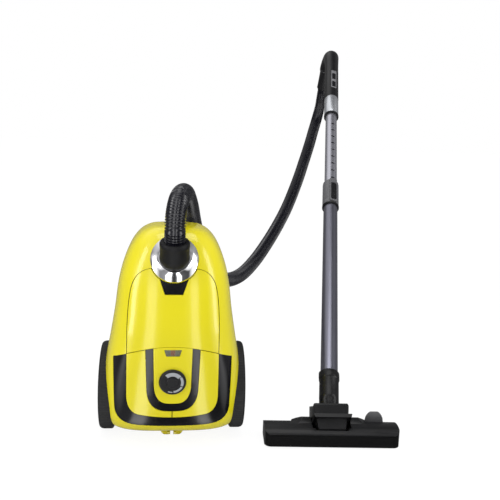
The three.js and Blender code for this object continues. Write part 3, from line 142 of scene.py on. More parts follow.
# ------------------------------------------------------------------ shader nodes
@dataclass
class Wiring:
    """Adds nodes to a shader tree and joins them."""

    tree: bpy.types.NodeTree

    def feed(self, socket: bpy.types.NodeSocket, source: object) -> None:
        """Joins an output to an input, or sets the input's value.

        Args:
            socket: the input.
            source: a node's output, or a value.
        """
        if isinstance(source, bpy.types.NodeSocket):
            self.tree.links.new(source, socket)
        else:
            socket.default_value = source

    def add(self, kind: str, inputs: Mapping[str | int, object] | None = None,
            **settings: object) -> bpy.types.Node:
        """Adds a node.

        Args:
            kind: the node's type.
            inputs: for each input that is set, its value or the output that feeds it.
            settings: the node's own properties, such as its operation.

        Returns:
            The new node.
        """
        node = self.tree.nodes.new(kind)
        for key, value in settings.items():
            setattr(node, key, value)
        for key, source in (inputs or {}).items():
            self.feed(node.inputs[key], source)
        return node

    def maths(self, operation: str, *values: object) -> bpy.types.NodeSocket:
        """Output of a Math node over values or outputs."""
        return self.add("ShaderNodeMath", dict(enumerate(values)), operation=operation).outputs[0]

    def mix(self, factor: object, a: object, b: object) -> bpy.types.NodeSocket:
        """Output of a Mix node from a to b."""
        return self.add("ShaderNodeMix", {"Factor": factor, "A": a, "B": b}).outputs["Result"]

    def smooth_range(self, value: bpy.types.NodeSocket, low: float, high: float,
                     start: float = 0.0, end: float = 1.0) -> bpy.types.NodeSocket:
        """Smooth step of a value.

        Args:
            value: the output that is stepped.
            low: where the step begins.
            high: where the step ends.
            start: result below the step.
            end: result above the step.

        Returns:
            The stepped value.
        """
        inputs = {"Value": value, "From Min": low, "From Max": high, "To Min": start,
                  "To Max": end}
        step = self.add("ShaderNodeMapRange", inputs, interpolation_type="SMOOTHSTEP")
        return step.outputs["Result"]


def shader_group(name: str, takes: Mapping[str, str], gives: Mapping[str, str]) -> Wiring:
    """Starts a shader group with named sockets.

    Args:
        name: the group's name.
        takes: its inputs, each with its kind of socket.
        gives: its outputs, each with its kind of socket.

    Returns:
        The wiring of the new group.
    """
    group = bpy.data.node_groups.new(name, "ShaderNodeTree")
    for way, sockets in (("INPUT", takes), ("OUTPUT", gives)):
        for label, kind in sockets.items():
            group.interface.new_socket(label, in_out=way, socket_type=f"NodeSocket{kind}")
    return Wiring(group)


# ------------------------------------------------------------------ finishes
COAT_ROUGHNESS = 0.06
PLASTIC_IOR = 1.46
MOTTLE_SCALE = 16.0
MOTTLE_ON_ROUGHNESS = 2.0
BRUSH_STRETCH = (900.0, 900.0, 6.0)  # fine across a tube, long along it


class Grain(Enum):
    """What the bump of a finish looks like, as its scale and its depth in metres."""

    PEEL = (260.0, 0.00004)
    SPARK = (1500.0, 0.00006)
    FINE = (2600.0, 0.00003)
    SOFT = (420.0, 0.00012)
    DRAWN = (900.0, 0.000004)
    NONE = (100.0, 0.0)


@dataclass(frozen=True)
class Finish:
    """One surface finish, made as a procedural material."""

    name: str
    colour: tuple[float, float, float]
    slot: str
    roughness: float = 0.4
    metallic: float = 0.0
    grain: Grain = Grain.FINE
    mottle: float = 0.04
    coat: float = 0.0
    transmission: float = 0.0
    brushed: float = 0.0
    specular: float = 0.5

    def material(self) -> bpy.types.Material:
        """The finish's material, built the first time that it is asked for."""
        known = bpy.data.materials.get(self.name)
        return known if known else self.build()

    def build(self) -> bpy.types.Material:
        """Makes the material's nodes.

        Returns:
            The new material.
        """
        material = bpy.data.materials.new(self.name)
        material.use_nodes = True
        wiring = Wiring(material.node_tree)
        shader = material.node_tree.nodes["Principled BSDF"].inputs
        plain = {"Metallic": self.metallic, "Coat Weight": self.coat,
                 "Coat Roughness": COAT_ROUGHNESS, "Transmission Weight": self.transmission,
                 "IOR": PLASTIC_IOR, "Specular IOR Level": self.specular}
        for key, value in plain.items():
            shader[key].default_value = value
        scale, depth = self.grain.value
        place = wiring.add("ShaderNodeTexCoord")
        values = {"Place": place.outputs["Object"], "Colour": (*self.colour, 1.0),
                  "Roughness": self.roughness, "Mottle": self.mottle, "Grain Scale": scale,
                  "Grain Depth": depth, "Brushed": self.brushed}
        surface = wiring.add("ShaderNodeGroup", values, node_tree=surface_group()).outputs
        for key, output in (("Base Color", "Colour"), ("Roughness", "Roughness"),
                            ("Normal", "Normal")):
            wiring.feed(shader[key], surface[output])
        return material


def surface_group() -> bpy.types.NodeTree:
    """Shader group that mottles a colour, varies its roughness and gives it a grain.

    Returns:
        The group, built the first time that it is asked for.
    """
    known = bpy.data.node_groups.get("moulded_surface")
    if known:
        return known
    wiring = shader_group(
        "moulded_surface",
        {"Place": "Vector", "Colour": "Color", "Roughness": "Float", "Mottle": "Float",
         "Grain Scale": "Float", "Grain Depth": "Float", "Brushed": "Float"},
        {"Colour": "Color", "Roughness": "Float", "Normal": "Vector"})
    given = wiring.add("NodeGroupInput").outputs
    result = wiring.add("NodeGroupOutput").inputs

    cloud = wiring.add("ShaderNodeTexNoise",
                       {"Vector": given["Place"], "Scale": MOTTLE_SCALE, "Detail": 4.0})
    centred = wiring.maths("SUBTRACT", cloud.outputs["Fac"], 0.5)
    weight = wiring.maths("MULTIPLY", centred, given["Mottle"])
    tint = wiring.add("ShaderNodeHueSaturation",
                      {"Value": wiring.maths("ADD", weight, 1.0), "Color": given["Colour"]})
    wiring.feed(result["Colour"], tint.outputs["Color"])
    wiring.feed(result["Roughness"], wiring.maths("MULTIPLY_ADD", weight, MOTTLE_ON_ROUGHNESS,
                                                  given["Roughness"]))

    grain = wiring.add("ShaderNodeTexNoise", {"Vector": given["Place"], "Detail": 3.0,
                                              "Scale": given["Grain Scale"]})
    streak = wiring.add("ShaderNodeMapping", {"Vector": given["Place"], "Scale": BRUSH_STRETCH})
    brush = wiring.add("ShaderNodeTexNoise", {"Vector": streak.outputs["Vector"], "Scale": 1.0})
    height = wiring.mix(given["Brushed"], grain.outputs["Fac"], brush.outputs["Fac"])
    bump = wiring.add("ShaderNodeBump", {"Height": height, "Distance": given["Grain Depth"]})
    wiring.feed(result["Normal"], bump.outputs["Normal"])
    return wiring.tree


YELLOW = Finish("yellow_gloss_plastic", (0.90, 0.79, 0.012), "yellow_gloss", 0.24, coat=0.5,
                grain=Grain.PEEL, mottle=0.03)
GLOSS_BLACK = Finish("black_gloss_plastic", (0.006, 0.006, 0.008), "black_gloss", 0.14,
                     grain=Grain.PEEL)
SATIN_BLACK = Finish("black_satin_plastic", (0.008, 0.008, 0.009), "black_plastic", 0.34,
                     grain=Grain.SPARK, mottle=0.1, specular=0.28)
GRIP_BLACK = Finish("black_grip_plastic", (0.007, 0.007, 0.008), "black_plastic", 0.36,
                    grain=Grain.SPARK, mottle=0.1, specular=0.28)
MATTE_BLACK = Finish("black_spark_plastic", (0.009, 0.009, 0.01), "black_plastic", 0.46,
                     grain=Grain.SPARK, mottle=0.12, specular=0.2)
# Darker, duller black for the nozzle's front face: painted shade, not a material of its own.
FRONT_SHADE_BLACK = Finish("black_front_painted_shade", (0.003, 0.003, 0.0032), "rubber", 0.6,
                     grain=Grain.SOFT, mottle=0.2, specular=0.08)
HOSE_BLACK = Finish("black_hose_plastic", (0.006, 0.006, 0.011), "hose_black", 0.2, mottle=0.15,
                    specular=0.6)
RUBBER = Finish("black_rubber", (0.009, 0.009, 0.01), "rubber", 0.5, grain=Grain.SOFT, mottle=0.2,
                specular=0.3)
CHROME = Finish("bright_chrome", (0.82, 0.82, 0.85), "chrome_ring", 0.07, metallic=1.0,
                grain=Grain.NONE, mottle=0.02)
STEEL = Finish("grey_tube_steel", (0.2, 0.2, 0.245), "steel", 0.3, metallic=0.9, grain=Grain.DRAWN,
               brushed=0.8)
SILVER = Finish("silver_tube_metal", (0.5, 0.5, 0.56), "silver_tube", 0.27, metallic=0.9,
                grain=Grain.DRAWN, brushed=0.8)
BRIGHT_SILVER = Finish("silver_sleeve_metal", (0.66, 0.68, 0.72), "silver_tube", 0.26,
                       metallic=0.85, grain=Grain.DRAWN, brushed=0.8)
FAN_METAL = Finish("fan_aluminium", (0.6, 0.6, 0.62), "fan_metal", 0.35, metallic=1.0)
GREY = Finish("grey_plastic", (0.13, 0.13, 0.135), "grey_plastic", 0.42, grain=Grain.SPARK)
SCALE_GREY = Finish("scale_grey_print", (0.42, 0.44, 0.47), "grey_plastic", 0.4)
COLLAR_GREY = Finish("collar_grey_plastic", (0.12, 0.12, 0.128), "grey_plastic", 0.36,
                     grain=Grain.SPARK)
PEDAL_GREY = Finish("pedal_grey_plastic", (0.1, 0.1, 0.105), "grey_plastic", 0.4,
                    grain=Grain.SPARK)
PALE_GREY = Finish("pale_grey_plastic", (0.2, 0.2, 0.21), "grey_plastic", 0.32,
                   grain=Grain.SPARK)
RED = Finish("red_flag_plastic", (0.45, 0.045, 0.012), "red_plastic", 0.3)
CLEAR = Finish("clear_window_plastic", (0.85, 0.84, 0.7), "clear_plastic", 0.08, transmission=0.9,
               grain=Grain.NONE, mottle=0.0)
PAPER = Finish("bag_paper", (0.66, 0.56, 0.4), "paper", 0.85, grain=Grain.SOFT, mottle=0.3)
FOAM = Finish("filter_foam", (0.12, 0.13, 0.14), "foam", 0.95, grain=Grain.SOFT, mottle=0.6)
BRISTLE = Finish("brush_bristle", (0.02, 0.02, 0.02), "bristle", 0.6, mottle=0.4)
FELT = Finish("glide_felt", (0.12, 0.12, 0.12), "felt", 0.9, grain=Grain.SOFT, mottle=0.4)
# The first finish of a slot dresses the CAD nodes that name that slot.
FINISHES = [YELLOW, GLOSS_BLACK, SATIN_BLACK, HOSE_BLACK, RUBBER, CHROME, STEEL, SILVER, FAN_METAL,
            GREY, RED, CLEAR, PAPER, FOAM, BRISTLE, FELT]


# ------------------------------------------------------------------ modelling with operators
def clear_selection() -> None:
    """Leaves edit mode and deselects everything."""
    if bpy.context.mode != "OBJECT":
        bpy.ops.object.mode_set(mode="OBJECT")
    bpy.ops.object.select_all(action="DESELECT")


def pick(obj: bpy.types.Object) -> bpy.types.Object:
    """Selects one object alone and makes it active.

    Args:
        obj: the object.

    Returns:
        The same object.
    """
    clear_selection()
    obj.select_set(True)
    bpy.context.view_layer.objects.active = obj
    return obj


def edit_all(obj: bpy.types.Object) -> None:
    """Opens an object in edit mode with its whole mesh selected.

    Args:
        obj: the object.
    """
    pick(obj)
    bpy.ops.object.mode_set(mode="EDIT")
    bpy.ops.mesh.select_all(action="SELECT")


def tidy_normals(obj: bpy.types.Object, merge: float = 0.001) -> bpy.types.Object:
    """Merges doubles and turns every face outwards.

    Args:
        obj: the object to tidy.
        merge: greatest distance of two points that become one.

    Returns:
        The same object.
    """
    edit_all(obj)
    bpy.ops.mesh.remove_doubles(threshold=merge)
    bpy.ops.mesh.dissolve_degenerate(threshold=merge / 2)
    bpy.ops.mesh.select_all(action="SELECT")
    bpy.ops.mesh.normals_make_consistent(inside=False)
    bpy.ops.object.mode_set(mode="OBJECT")
    return obj


def edge_loop(points: Sequence[Point]) -> bpy.types.Object:
    """Closed ring of edges through the points, drawn out of a circle.

    Args:
        points: corners of the ring, in order.

    Returns:
        The ring as an object.
    """
    clear_selection()
    bpy.ops.mesh.primitive_circle_add(vertices=len(points), radius=1.0)
    loop = bpy.context.object
    for vertex, point in zip(loop.data.vertices, points):
        vertex.co = Vector(point)
    return loop


def turned(profile: Outline, steps: int = 64) -> bpy.types.Object:
    """Solid of revolution about Z.

    Args:
        profile: closed outline of radius and height.
        steps: faces round the axis.

    Returns:
        The closed solid.
    """
    obj = edge_loop([(r, 0.0, z) for r, z in profile])
    edit_all(obj)
    bpy.ops.mesh.spin(steps=steps, angle=2 * math.pi, center=(0, 0, 0), axis=(0, 0, 1))
    return tidy_normals(obj)


def plate(outline: Outline, z0: float, z1: float) -> bpy.types.Object:
    """Flat plate over an outline, from z0 to z1.

    Args:
        outline: corners of the plate, in order.
        z0: level of its first face.
        z1: level of its second face.

    Returns:
        The plate.
    """
    obj = edge_loop([(x, y, z0) for x, y in outline])
    edit_all(obj)
    bpy.ops.mesh.edge_face_add()
    bpy.ops.mesh.extrude_region_move(TRANSFORM_OT_translate={"value": (0, 0, z1 - z0)})
    return tidy_normals(obj)


def block(x0: float, x1: float, y0: float, y1: float, z0: float, z1: float) -> bpy.types.Object:
    """Box between two corners, as a start for shaping or as a cutter."""
    return plate([(x0, y0), (x1, y0), (x1, y1), (x0, y1)], z0, z1)


def rod(radius: float, low: float, high: float, steps: int = 48,
        bore: float = 0.0) -> bpy.types.Object:
    """Round rod or pipe about Z from low to high, as a start for shaping or as a cutter.

    Args:
        radius: its radius.
        low: where it begins.
        high: where it ends.
        steps: faces round it.
        bore: radius of its bore.

    Returns:
        The rod.
    """
    return turned([(bore, low), (radius, low), (radius, high), (bore, high)], steps)


def ball(radius: float) -> bpy.types.Object:
    """Ball about the origin, as a start for a ball joint.

    Args:
        radius: the ball's radius.

    Returns:
        The ball.
    """
    rim = [(radius * math.cos(math.radians(a)), radius * math.sin(math.radians(a)))
           for a in range(-80, 90, 10)]
    return turned([(0, -radius), *rim, (0, radius)], 64)


def placed(obj: bpy.types.Object, matrix: Matrix) -> bpy.types.Object:
    """Moves an object's mesh by a matrix.

    Args:
        obj: the object.
        matrix: where its mesh goes; a mirrored mesh is turned right side out.

    Returns:
        The same object.
    """
    obj.data.transform(matrix)
    if matrix.determinant() < 0:
        obj.data.flip_normals()
    return obj


class Operation(Enum):
    """What a boolean leaves of two solids."""

    DIFFERENCE = "DIFFERENCE"
    INTERSECT = "INTERSECT"
    UNION = "UNION"


def combine(obj: bpy.types.Object, tool: bpy.types.Object,
            operation: Operation) -> bpy.types.Object:
    """Applies a boolean of one object with another, which is used up.

    Args:
        obj: the object that is changed.
        tool: the other operand.
        operation: what is left.

    Returns:
        The changed object.
    """
    pick(obj)
    modifier = obj.modifiers.new("cut", "BOOLEAN")
    modifier.operation = operation.value
    modifier.solver = "EXACT"
    modifier.object = tool
    bpy.ops.object.modifier_apply(modifier=modifier.name)
    bpy.data.objects.remove(tool)
    return obj


def cut(obj: bpy.types.Object, *tools: bpy.types.Object) -> bpy.types.Object:
    """Cuts tools out of an object.

    Args:
        obj: the object that is cut.
        tools: the cutters, which are used up.

    Returns:
        The same object.
    """
    for tool in tools:
        combine(obj, tool, Operation.DIFFERENCE)
    return obj


def within(obj: bpy.types.Object, *regions: bpy.types.Object) -> bpy.types.Object:
    """Keeps what of an object lies in every region.

    Args:
        obj: the object that is trimmed.
        regions: the regions, which are used up.

    Returns:
        The same object.
    """
    for region in regions:
        combine(obj, region, Operation.INTERSECT)
    return obj


def joined(obj: bpy.types.Object, *others: bpy.types.Object) -> bpy.types.Object:
    """Unites objects into the first one.

    Args:
        obj: the object that grows.
        others: the solids that it takes in.

    Returns:
        The same object.
    """
    for other in others:
        combine(obj, other, Operation.UNION)
    return obj


def bevelled(obj: bpy.types.Object, width: float, segments: int = 2,
             angle: float = 40.0) -> bpy.types.Object:
    """Rounds the edges that are sharper than an angle.

    Args:
        obj: the object.
        width: width of the round.
        segments: faces across it.
        angle: least angle of an edge that is rounded, in degrees.

    Returns:
        The same object.
    """
    pick(obj)
    modifier = obj.modifiers.new("round", "BEVEL")
    modifier.width = width
    modifier.segments = segments
    modifier.limit_method = "ANGLE"
    modifier.angle_limit = math.radians(angle)
    bpy.ops.object.modifier_apply(modifier=modifier.name)
    return obj


def copy_of(obj: bpy.types.Object) -> bpy.types.Object:
    """Copy of an object with a mesh of its own.

    Args:
        obj: the object that is copied.

    Returns:
        The copy.
    """
    twin = obj.copy()
    twin.data = obj.data.copy()
    bpy.context.collection.objects.link(twin)
    return twin


def mesh_object(points: Iterable[Point], faces: Iterable[Sequence[int]]) -> bpy.types.Object:
    """Object from points and faces, for the lofted and swept forms.

    Args:
        points: the mesh's points.
        faces: the numbers of each face's points.

    Returns:
        The object.
    """
    mesh = bpy.data.meshes.new("form")
    mesh.from_pydata([tuple(p) for p in points], [], [tuple(f) for f in faces])
    obj = bpy.data.objects.new("form", mesh)
    bpy.context.collection.objects.link(obj)
    return obj


def finished(obj: bpy.types.Object, name: str, body: str, finish: Finish,
             replaces: Sequence[str] = (), angle: float = 35.0) -> bpy.types.Object:
    """Names, shades, dresses and mounts a piece.

    Args:
        obj: the piece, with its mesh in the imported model's frame.
        name: its name.
        body: the CAD body that it moves with.
        finish: its surface.
        replaces: the CAD nodes that it stands for.
        angle: greatest angle between faces that are shaded as one surface.

    Returns:
        The piece.
    """
    obj.name = name
    obj.data.name = name
    pick(obj)
    bpy.ops.object.shade_smooth_by_angle(angle=math.radians(angle))
    obj.data.materials.clear()
    obj.data.materials.append(finish.material())
    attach(obj, body)
    if replaces:
        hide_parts(*replaces)
    LOG.info("%s on %s: %d faces", name, body, len(obj.data.polygons))
    return obj


# ------------------------------------------------------------------ outlines
def arc(cx: float, cy: float, radius: float, start: float, end: float, steps: int) -> Outline:
    """Points of an arc from start to end, in degrees."""
    angles = [math.radians(start + (end - start) * i / steps) for i in range(steps + 1)]
    return [(cx + radius * math.cos(a), cy + radius * math.sin(a)) for a in angles]


def rounded(half_x: float, half_y: float, radius: float, cx: float = 0.0, cy: float = 0.0,
            steps: int = 6) -> Outline:
    """Rectangle with round corners.

    Args:
        half_x: half width.
        half_y: half height.
        radius: radius of the corners.
        cx: middle, sideways.
        cy: middle, upwards.
        steps: edges in each corner.

    Returns:
        The outline, anticlockwise.
    """
    points: Outline = []
    for sx, sy, start in [(1, -1, -90), (1, 1, 0), (-1, 1, 90), (-1, -1, 180)]:
        points += arc(cx + sx * (half_x - radius), cy + sy * (half_y - radius), radius, start,
                      start + 90, steps)
    return points


def mirrored(points: Outline) -> Outline:
    """The outline's other half, from its end back to its start."""
    return [(-x, y) for x, y in reversed(points)]


def bow(a: Point, b: Point, c: Point, steps: int = 10) -> Outline:
    """Quadratic curve from a to c, drawn towards b, without its first point.

    Args:
        a: start.
        b: the point that pulls the curve.
        c: end.
        steps: edges in the curve.

    Returns:
        The points after the start.
    """
    points: Outline = []
    for i in range(1, steps + 1):
        t = i / steps
        points.append(tuple((1 - t) ** 2 * a[k] + 2 * t * (1 - t) * b[k] + t * t * c[k]
                            for k in (0, 1)))
    return points


# ------------------------------------------------------------------ routes of tubes
@dataclass
class Route:
    """Centripetal Catmull-Rom curve through points in metres, walked by its length."""

    points: list[Vector]
    steps: int = 900

    def __post_init__(self) -> None:
        """Walks the curve once and keeps its points and their distances from the start."""
        self.spots = [self.at(i / self.steps) for i in range(self.steps + 1)]
        self.travel = [0.0]
        for a, b in zip(self.spots, self.spots[1:]):
            self.travel.append(self.travel[-1] + (b - a).length)
        self.length = self.travel[-1]

    def at(self, t: float) -> Vector:
        """Point at a share of the curve's own parameter.

        Args:
            t: share of the way, from 0 to 1.

        Returns:
            The point, in metres.
        """
        count = len(self.points)
        place = (count - 1) * t
        i = min(int(place), count - 2)
        weight = place - i
        p1, p2 = self.points[i], self.points[i + 1]
        p0 = self.points[i - 1] if i > 0 else p1 * 2 - p2
        p3 = self.points[i + 2] if i + 2 < count else p2 * 2 - p1
        d0, d1, d2 = ((b - a).length ** 0.5 for a, b in ((p0, p1), (p1, p2), (p2, p3)))
        m1 = ((p1 - p0) / d0 - (p2 - p0) / (d0 + d1) + (p2 - p1) / d1) * d1
        m2 = ((p2 - p1) / d1 - (p3 - p1) / (d1 + d2) + (p3 - p2) / d2) * d1
        w2, w3 = weight ** 2, weight ** 3
        return (p1 * (2 * w3 - 3 * w2 + 1) + m1 * (w3 - 2 * w2 + weight)
                + p2 * (3 * w2 - 2 * w3) + m2 * (w3 - w2))

    def along(self, distance: float) -> Vector:
        """Point at a distance from the start, in metres.

        Args:
            distance: distance from the start, in metres.

        Returns:
            The point, in metres.
        """
        distance = min(max(distance, 0.0), self.length)
        low, high = 0, self.steps
        while high - low > 1:
            middle = (low + high) // 2
            low, high = (middle, high) if self.travel[middle] <= distance else (low, middle)
        span = self.travel[high] - self.travel[low]
        share = (distance - self.travel[low]) / span if span else 0.0
        return self.spots[low].lerp(self.spots[high], share)

    def turns(self, distances: Iterable[float]) -> dict[float, Quaternion]:
        """Turns +Z onto the curve, without twist from one distance to the next.

        Args:
            distances: distances from the start, in metres.

        Returns:
            The rotation at each distance.
        """
        up = Vector((0, 0, 1))
        turns: dict[float, Quaternion] = {}
        last = Quaternion()
        for distance in sorted(set(distances)):
            ahead = self.along(min(distance + MM, self.length))
            behind = self.along(max(distance - MM, 0.0))
            tangent = (ahead - behind).normalized()
            if turns:
                last = (last @ up).rotation_difference(tangent) @ last
            else:
                last = up.rotation_difference(tangent)
            turns[distance] = last
        return turns

    def tube(self, rings: Sequence[tuple[float, float]], around: int) -> bpy.types.Object:
        """Closed tube through rings of distance and radius; the list returns along the bore.

        Args:
            rings: distance from the start and radius of each ring, in metres.
            around: points in a ring.

        Returns:
            The tube.
        """
        points: list[Vector] = []
        turns = self.turns(distance for distance, _ in rings)
        for distance, radius in rings:
            centre = self.along(distance)
            for j in range(around):
                angle = 2 * math.pi * j / around
                spoke = Vector((radius * math.cos(angle), radius * math.sin(angle), 0))
                points.append(centre + turns[distance] @ spoke)
        count = len(rings)
        faces: list[Sequence[int]] = []
        for i in range(count):
            for j in range(around):
                k = (j + 1) % around
                n = (i + 1) % count
                faces.append((i * around + j, i * around + k, n * around + k, n * around + j))
        return mesh_object(points, faces)


def from_middle(*points: Point) -> list[Vector]:
    """Points given in millimetres from the canister's middle, in metres in the model's frame."""
    return [MIDDLE + Vector(p) * MM for p in points]


# ------------------------------------------------------------------ canister
class Nested(Enum):
    """Outer edges of the pieces nested round the control panel.

    Each gives the half width at the top, the straight side's half width and lower end, the
    corner's pull sideways and down, the foot's half width and level, and the pull of the bottom.
    """

    OUTER_TRIM = (112, 107.8, 84, 106.5, 55, 76, 50.5, 45.5)
    PEDALS = (84, 85.6, 112, 84.5, 75, 58, 73, 63)
    INNER_TRIM = (52, 46.8, 125, 43.5, 85, 12, 83.4, 82.6)
    PANEL = (38, 34.6, 132, 31, 100, 9, 98.7, 98)


@dataclass
class Canister:
    """Egg-shaped housing with its lid, pedals, trims, wheels and rear end."""

    # Height above the floor, half width, and how far the top and the base lie from z = 0.
    stations: tuple[tuple[float, float, float, float], ...] = (
        (20, 112, 150, 34), (27, 124, 178, 18), (42, 130, 197, 9), (66, 133, 210, 8),
        (105, 134, 220, 8), (160, 130, 228, 8), (212, 121, 232, 8), (262, 113, 228, 8),
        (310, 107, 217, 8), (350, 97.5, 201, 14), (384, 83, 183, 26), (405, 66.5, 168, 40),
        (416, 48, 152, 56), (420, 30, 134, 74))
    widest: float = 84.0
    top_fullness: float = 3.3
    base_fullness: float = 5.0
    split: float = 62.0
    split_gap: float = 0.3
    seam: float = 0.8
    wall: float = 2.8
    panel: float = 3.2
    latch_sink: float = 1.2
    latch_wall: float = 3.4
    crown: float = 212.0
    seam_radius: float = 225.0
    lid_half: float = 83.5
    lid_front: float = 350.0
    ring_radius: float = 44.0
    ring_gap: float = 1.5
    ring_rest: float = 15.4
    ball_radius: float = 26.8
    hose_seat: float = 20.4
    wheel_radius: float = 87.5
    wheel_level: float = 86.0
    wheel_outer: float = 142.0
    wheel_width: float = 27.0
    wheel_gap: float = 3.0
    grooves: int = 96
    groove_depth: float = 1.1
    pocket_radius: float = 32.0
    pocket_depth: float = 44.0
    pocket_level: float = 330.0
    rings: int = 78
    around: int = 112

    def curve(self, column: int, t: float) -> float:
        """One column of the stations at a share of the way, as a Catmull-Rom curve.

        Args:
            column: number of the column.
            t: share of the way, from 0 to 1.

        Returns:
            The column's value there.
        """
        values = [station[column] for station in self.stations]
        place = (len(values) - 1) * t
        i = min(int(place), len(values) - 2)
        w = place - i
        p1, p2 = values[i], values[i + 1]
        p0 = values[i - 1] if i > 0 else 2 * p1 - p2
        p3 = values[i + 2] if i + 2 < len(values) else 2 * p2 - p1
        m1, m2 = (p2 - p0) / 2, (p3 - p1) / 2
        return ((2 * w ** 3 - 3 * w ** 2 + 1) * p1 + (w ** 3 - 2 * w ** 2 + w) * m1
                + (3 * w ** 2 - 2 * w ** 3) * p2 + (w ** 3 - w ** 2) * m2)

    def form(self, inset: float = 0.0) -> bpy.types.Object:
        """Closed form of the housing, drawn in by an inset, in the machine's frame.

        Args:
            inset: how far inside the housing's surface it lies.

        Returns:
            The closed form.
        """
        first, last = self.stations[0][0], self.stations[-1][0]
        middle = (first + last) / 2
        shrink = 1 - inset / (middle - first)
        points: list[Point] = []
        for i in range(self.rings + 1):
            t = i / self.rings
            y, width, top, base = (self.curve(column, t) for column in range(4))
            for j in range(self.around):
                angle = 2 * math.pi * j / self.around
                cosine, sine = math.cos(angle), math.sin(angle)
                upper = sine >= 0
                power = 2 / (self.top_fullness if upper else self.base_fullness)
                rise = top - inset - self.widest if upper else self.widest - base - inset
                points.append(((width - inset) * math.copysign(abs(cosine) ** power, cosine),
                               middle + (y - middle) * shrink,
                               self.widest + rise * math.copysign(abs(sine) ** power, sine)))
        faces: list[Sequence[int]] = []
        n = self.around
        for i in range(self.rings):
            for j in range(n):
                k = (j + 1) % n
                faces.append((i * n + j, (i + 1) * n + j, (i + 1) * n + k, i * n + k))
        faces.append(tuple(range(n)))
        faces.append(tuple(reversed(range(self.rings * n, (self.rings + 1) * n))))
        return tidy_normals(mesh_object(points, faces))

    def above_seam(self, gap: float) -> bpy.types.Object:
        """Cutter over the region above the arched seam.

        Args:
            gap: how far above the seam the region begins.

        Returns:
            The cutter.
        """
        centre = self.crown - self.seam_radius + gap
        reach = 150.0
        start = math.degrees(math.acos(reach / self.seam_radius))
        outline = arc(0, centre, self.seam_radius, start, 180 - start, 60)
        return plate(outline + [(-reach, 2 * FAR), (reach, 2 * FAR)], 0, FAR)

    def u_outline(self, top: float, side: float, side_y: float, corner_x: float, corner_y: float,
                  foot: float, foot_y: float, bottom: float, grow: float = 0.0) -> Outline:
        """Nested U outline round the control panel.

        Args:
            top: half width at the open end.
            side: half width where the straight side ends.
            side_y: level where it ends.
            corner_x: sideways pull of the corner.
            corner_y: downward pull of the corner.
            foot: half width of the foot.
            foot_y: level of the foot.
            bottom: pull of the bottom's middle.
            grow: how much wider the outline is made.

        Returns:
            The outline, open at the top.
        """
        points: Outline = [(-(top + grow), FAR), (-(side + grow), side_y)]
        points += bow(points[-1], (-(corner_x + grow), corner_y - grow), (-foot, foot_y - grow), 14)
        points += bow(points[-1], (0, bottom - grow), (foot, foot_y - grow), 14)
        points += bow(points[-1], (corner_x + grow, corner_y - grow), (side + grow, side_y), 14)
        return points + [(top + grow, FAR)]

    def lid_outline(self, grow: float) -> Outline:
        """Outline of the lid with the bay round the inlet ring.

        Args:
            grow: how much wider the outline is made.

        Returns:
            The outline.
        """
        half = self.lid_half + grow
        bay_x = self.ring_radius + self.ring_gap - grow
        bay_y = self.ring_radius * math.cos(math.radians(INLET_TILT)) + self.ring_gap - grow
        mouth = math.asin((self.lid_front - INLET_LEVEL) / bay_y)
        left: Outline = [(-half, 150), (-half, 245)]
        left += bow(left[-1], (-half + 1, 285), (-half + 4, 303), 10)
        left += bow(left[-1], (-half + 9, self.lid_front - 4 + grow),
                    (-bay_x * math.cos(mouth), self.lid_front + grow), 14)
        sweep = [math.pi - mouth + (math.pi + 2 * mouth) * i / 40 for i in range(1, 40)]
        bay = [(bay_x * math.cos(a), INLET_LEVEL + bay_y * math.sin(a)) for a in sweep]
        return left + bay + mirrored(left)

    def latch_outline(self, grow: float) -> Outline:
        """Outline of the latch below the ring."""
        return [(-26.5 - grow, 336), (-15.8 - grow, 306.8 - grow), (15.8 + grow, 306.8 - grow),
                (26.5 + grow, 336)]

    def latch_region(self, grow: float) -> bpy.types.Object:
        """Prism over the latch."""
        return plate(self.latch_outline(grow), 100, FAR)

    def lid_region(self, grow: float) -> bpy.types.Object:
        """Prism over the lid."""
        return plate(self.lid_outline(grow), 90, FAR)

    def u_region(self, edge: Nested, grow: float) -> bpy.types.Object:
        """Prism over what lies inside one of the nested edges."""
        return plate(self.u_outline(*edge.value, grow=grow), 100, FAR)

    def panel_piece(self, region: bpy.types.Object, thickness: float,
                    above: bool = False) -> bpy.types.Object:
        """Skin of the housing over a region, as thick as asked.

        Args:
            region: what the skin lies in, which is used up.
            thickness: how thick the skin is.
            above: whether it lies above the arched seam.

        Returns:
            The piece, in the machine's frame.
        """
        piece = within(self.form(), region)
        if above:
            within(piece, self.above_seam(self.seam))
        else:
            cut(piece, self.above_seam(0.0))
        return cut(piece, self.form(thickness))

    def well(self, side: int, radius: float, inner: float) -> bpy.types.Object:
        """Drum-shaped cutter for a wheel's well.

        Args:
            side: -1 on the left, 1 on the right.
            radius: radius of the drum.
            inner: distance of its inner end from the middle plane.

        Returns:
            The cutter.
        """
        drum = rod(radius, inner, self.wheel_outer + 20, 96)
        place = shift(0, self.wheel_radius, self.wheel_level) @ turn(90 * side, "Y")
        return placed(drum, place)

    def caster_pocket(self, grow: float, low: float) -> bpy.types.Object:
        """Cutter for the caster's pocket from a level up, widened by grow."""
        return placed(rod(self.pocket_radius + grow, low, self.pocket_depth + grow, 64),
                      shift(0, self.pocket_level, 0))

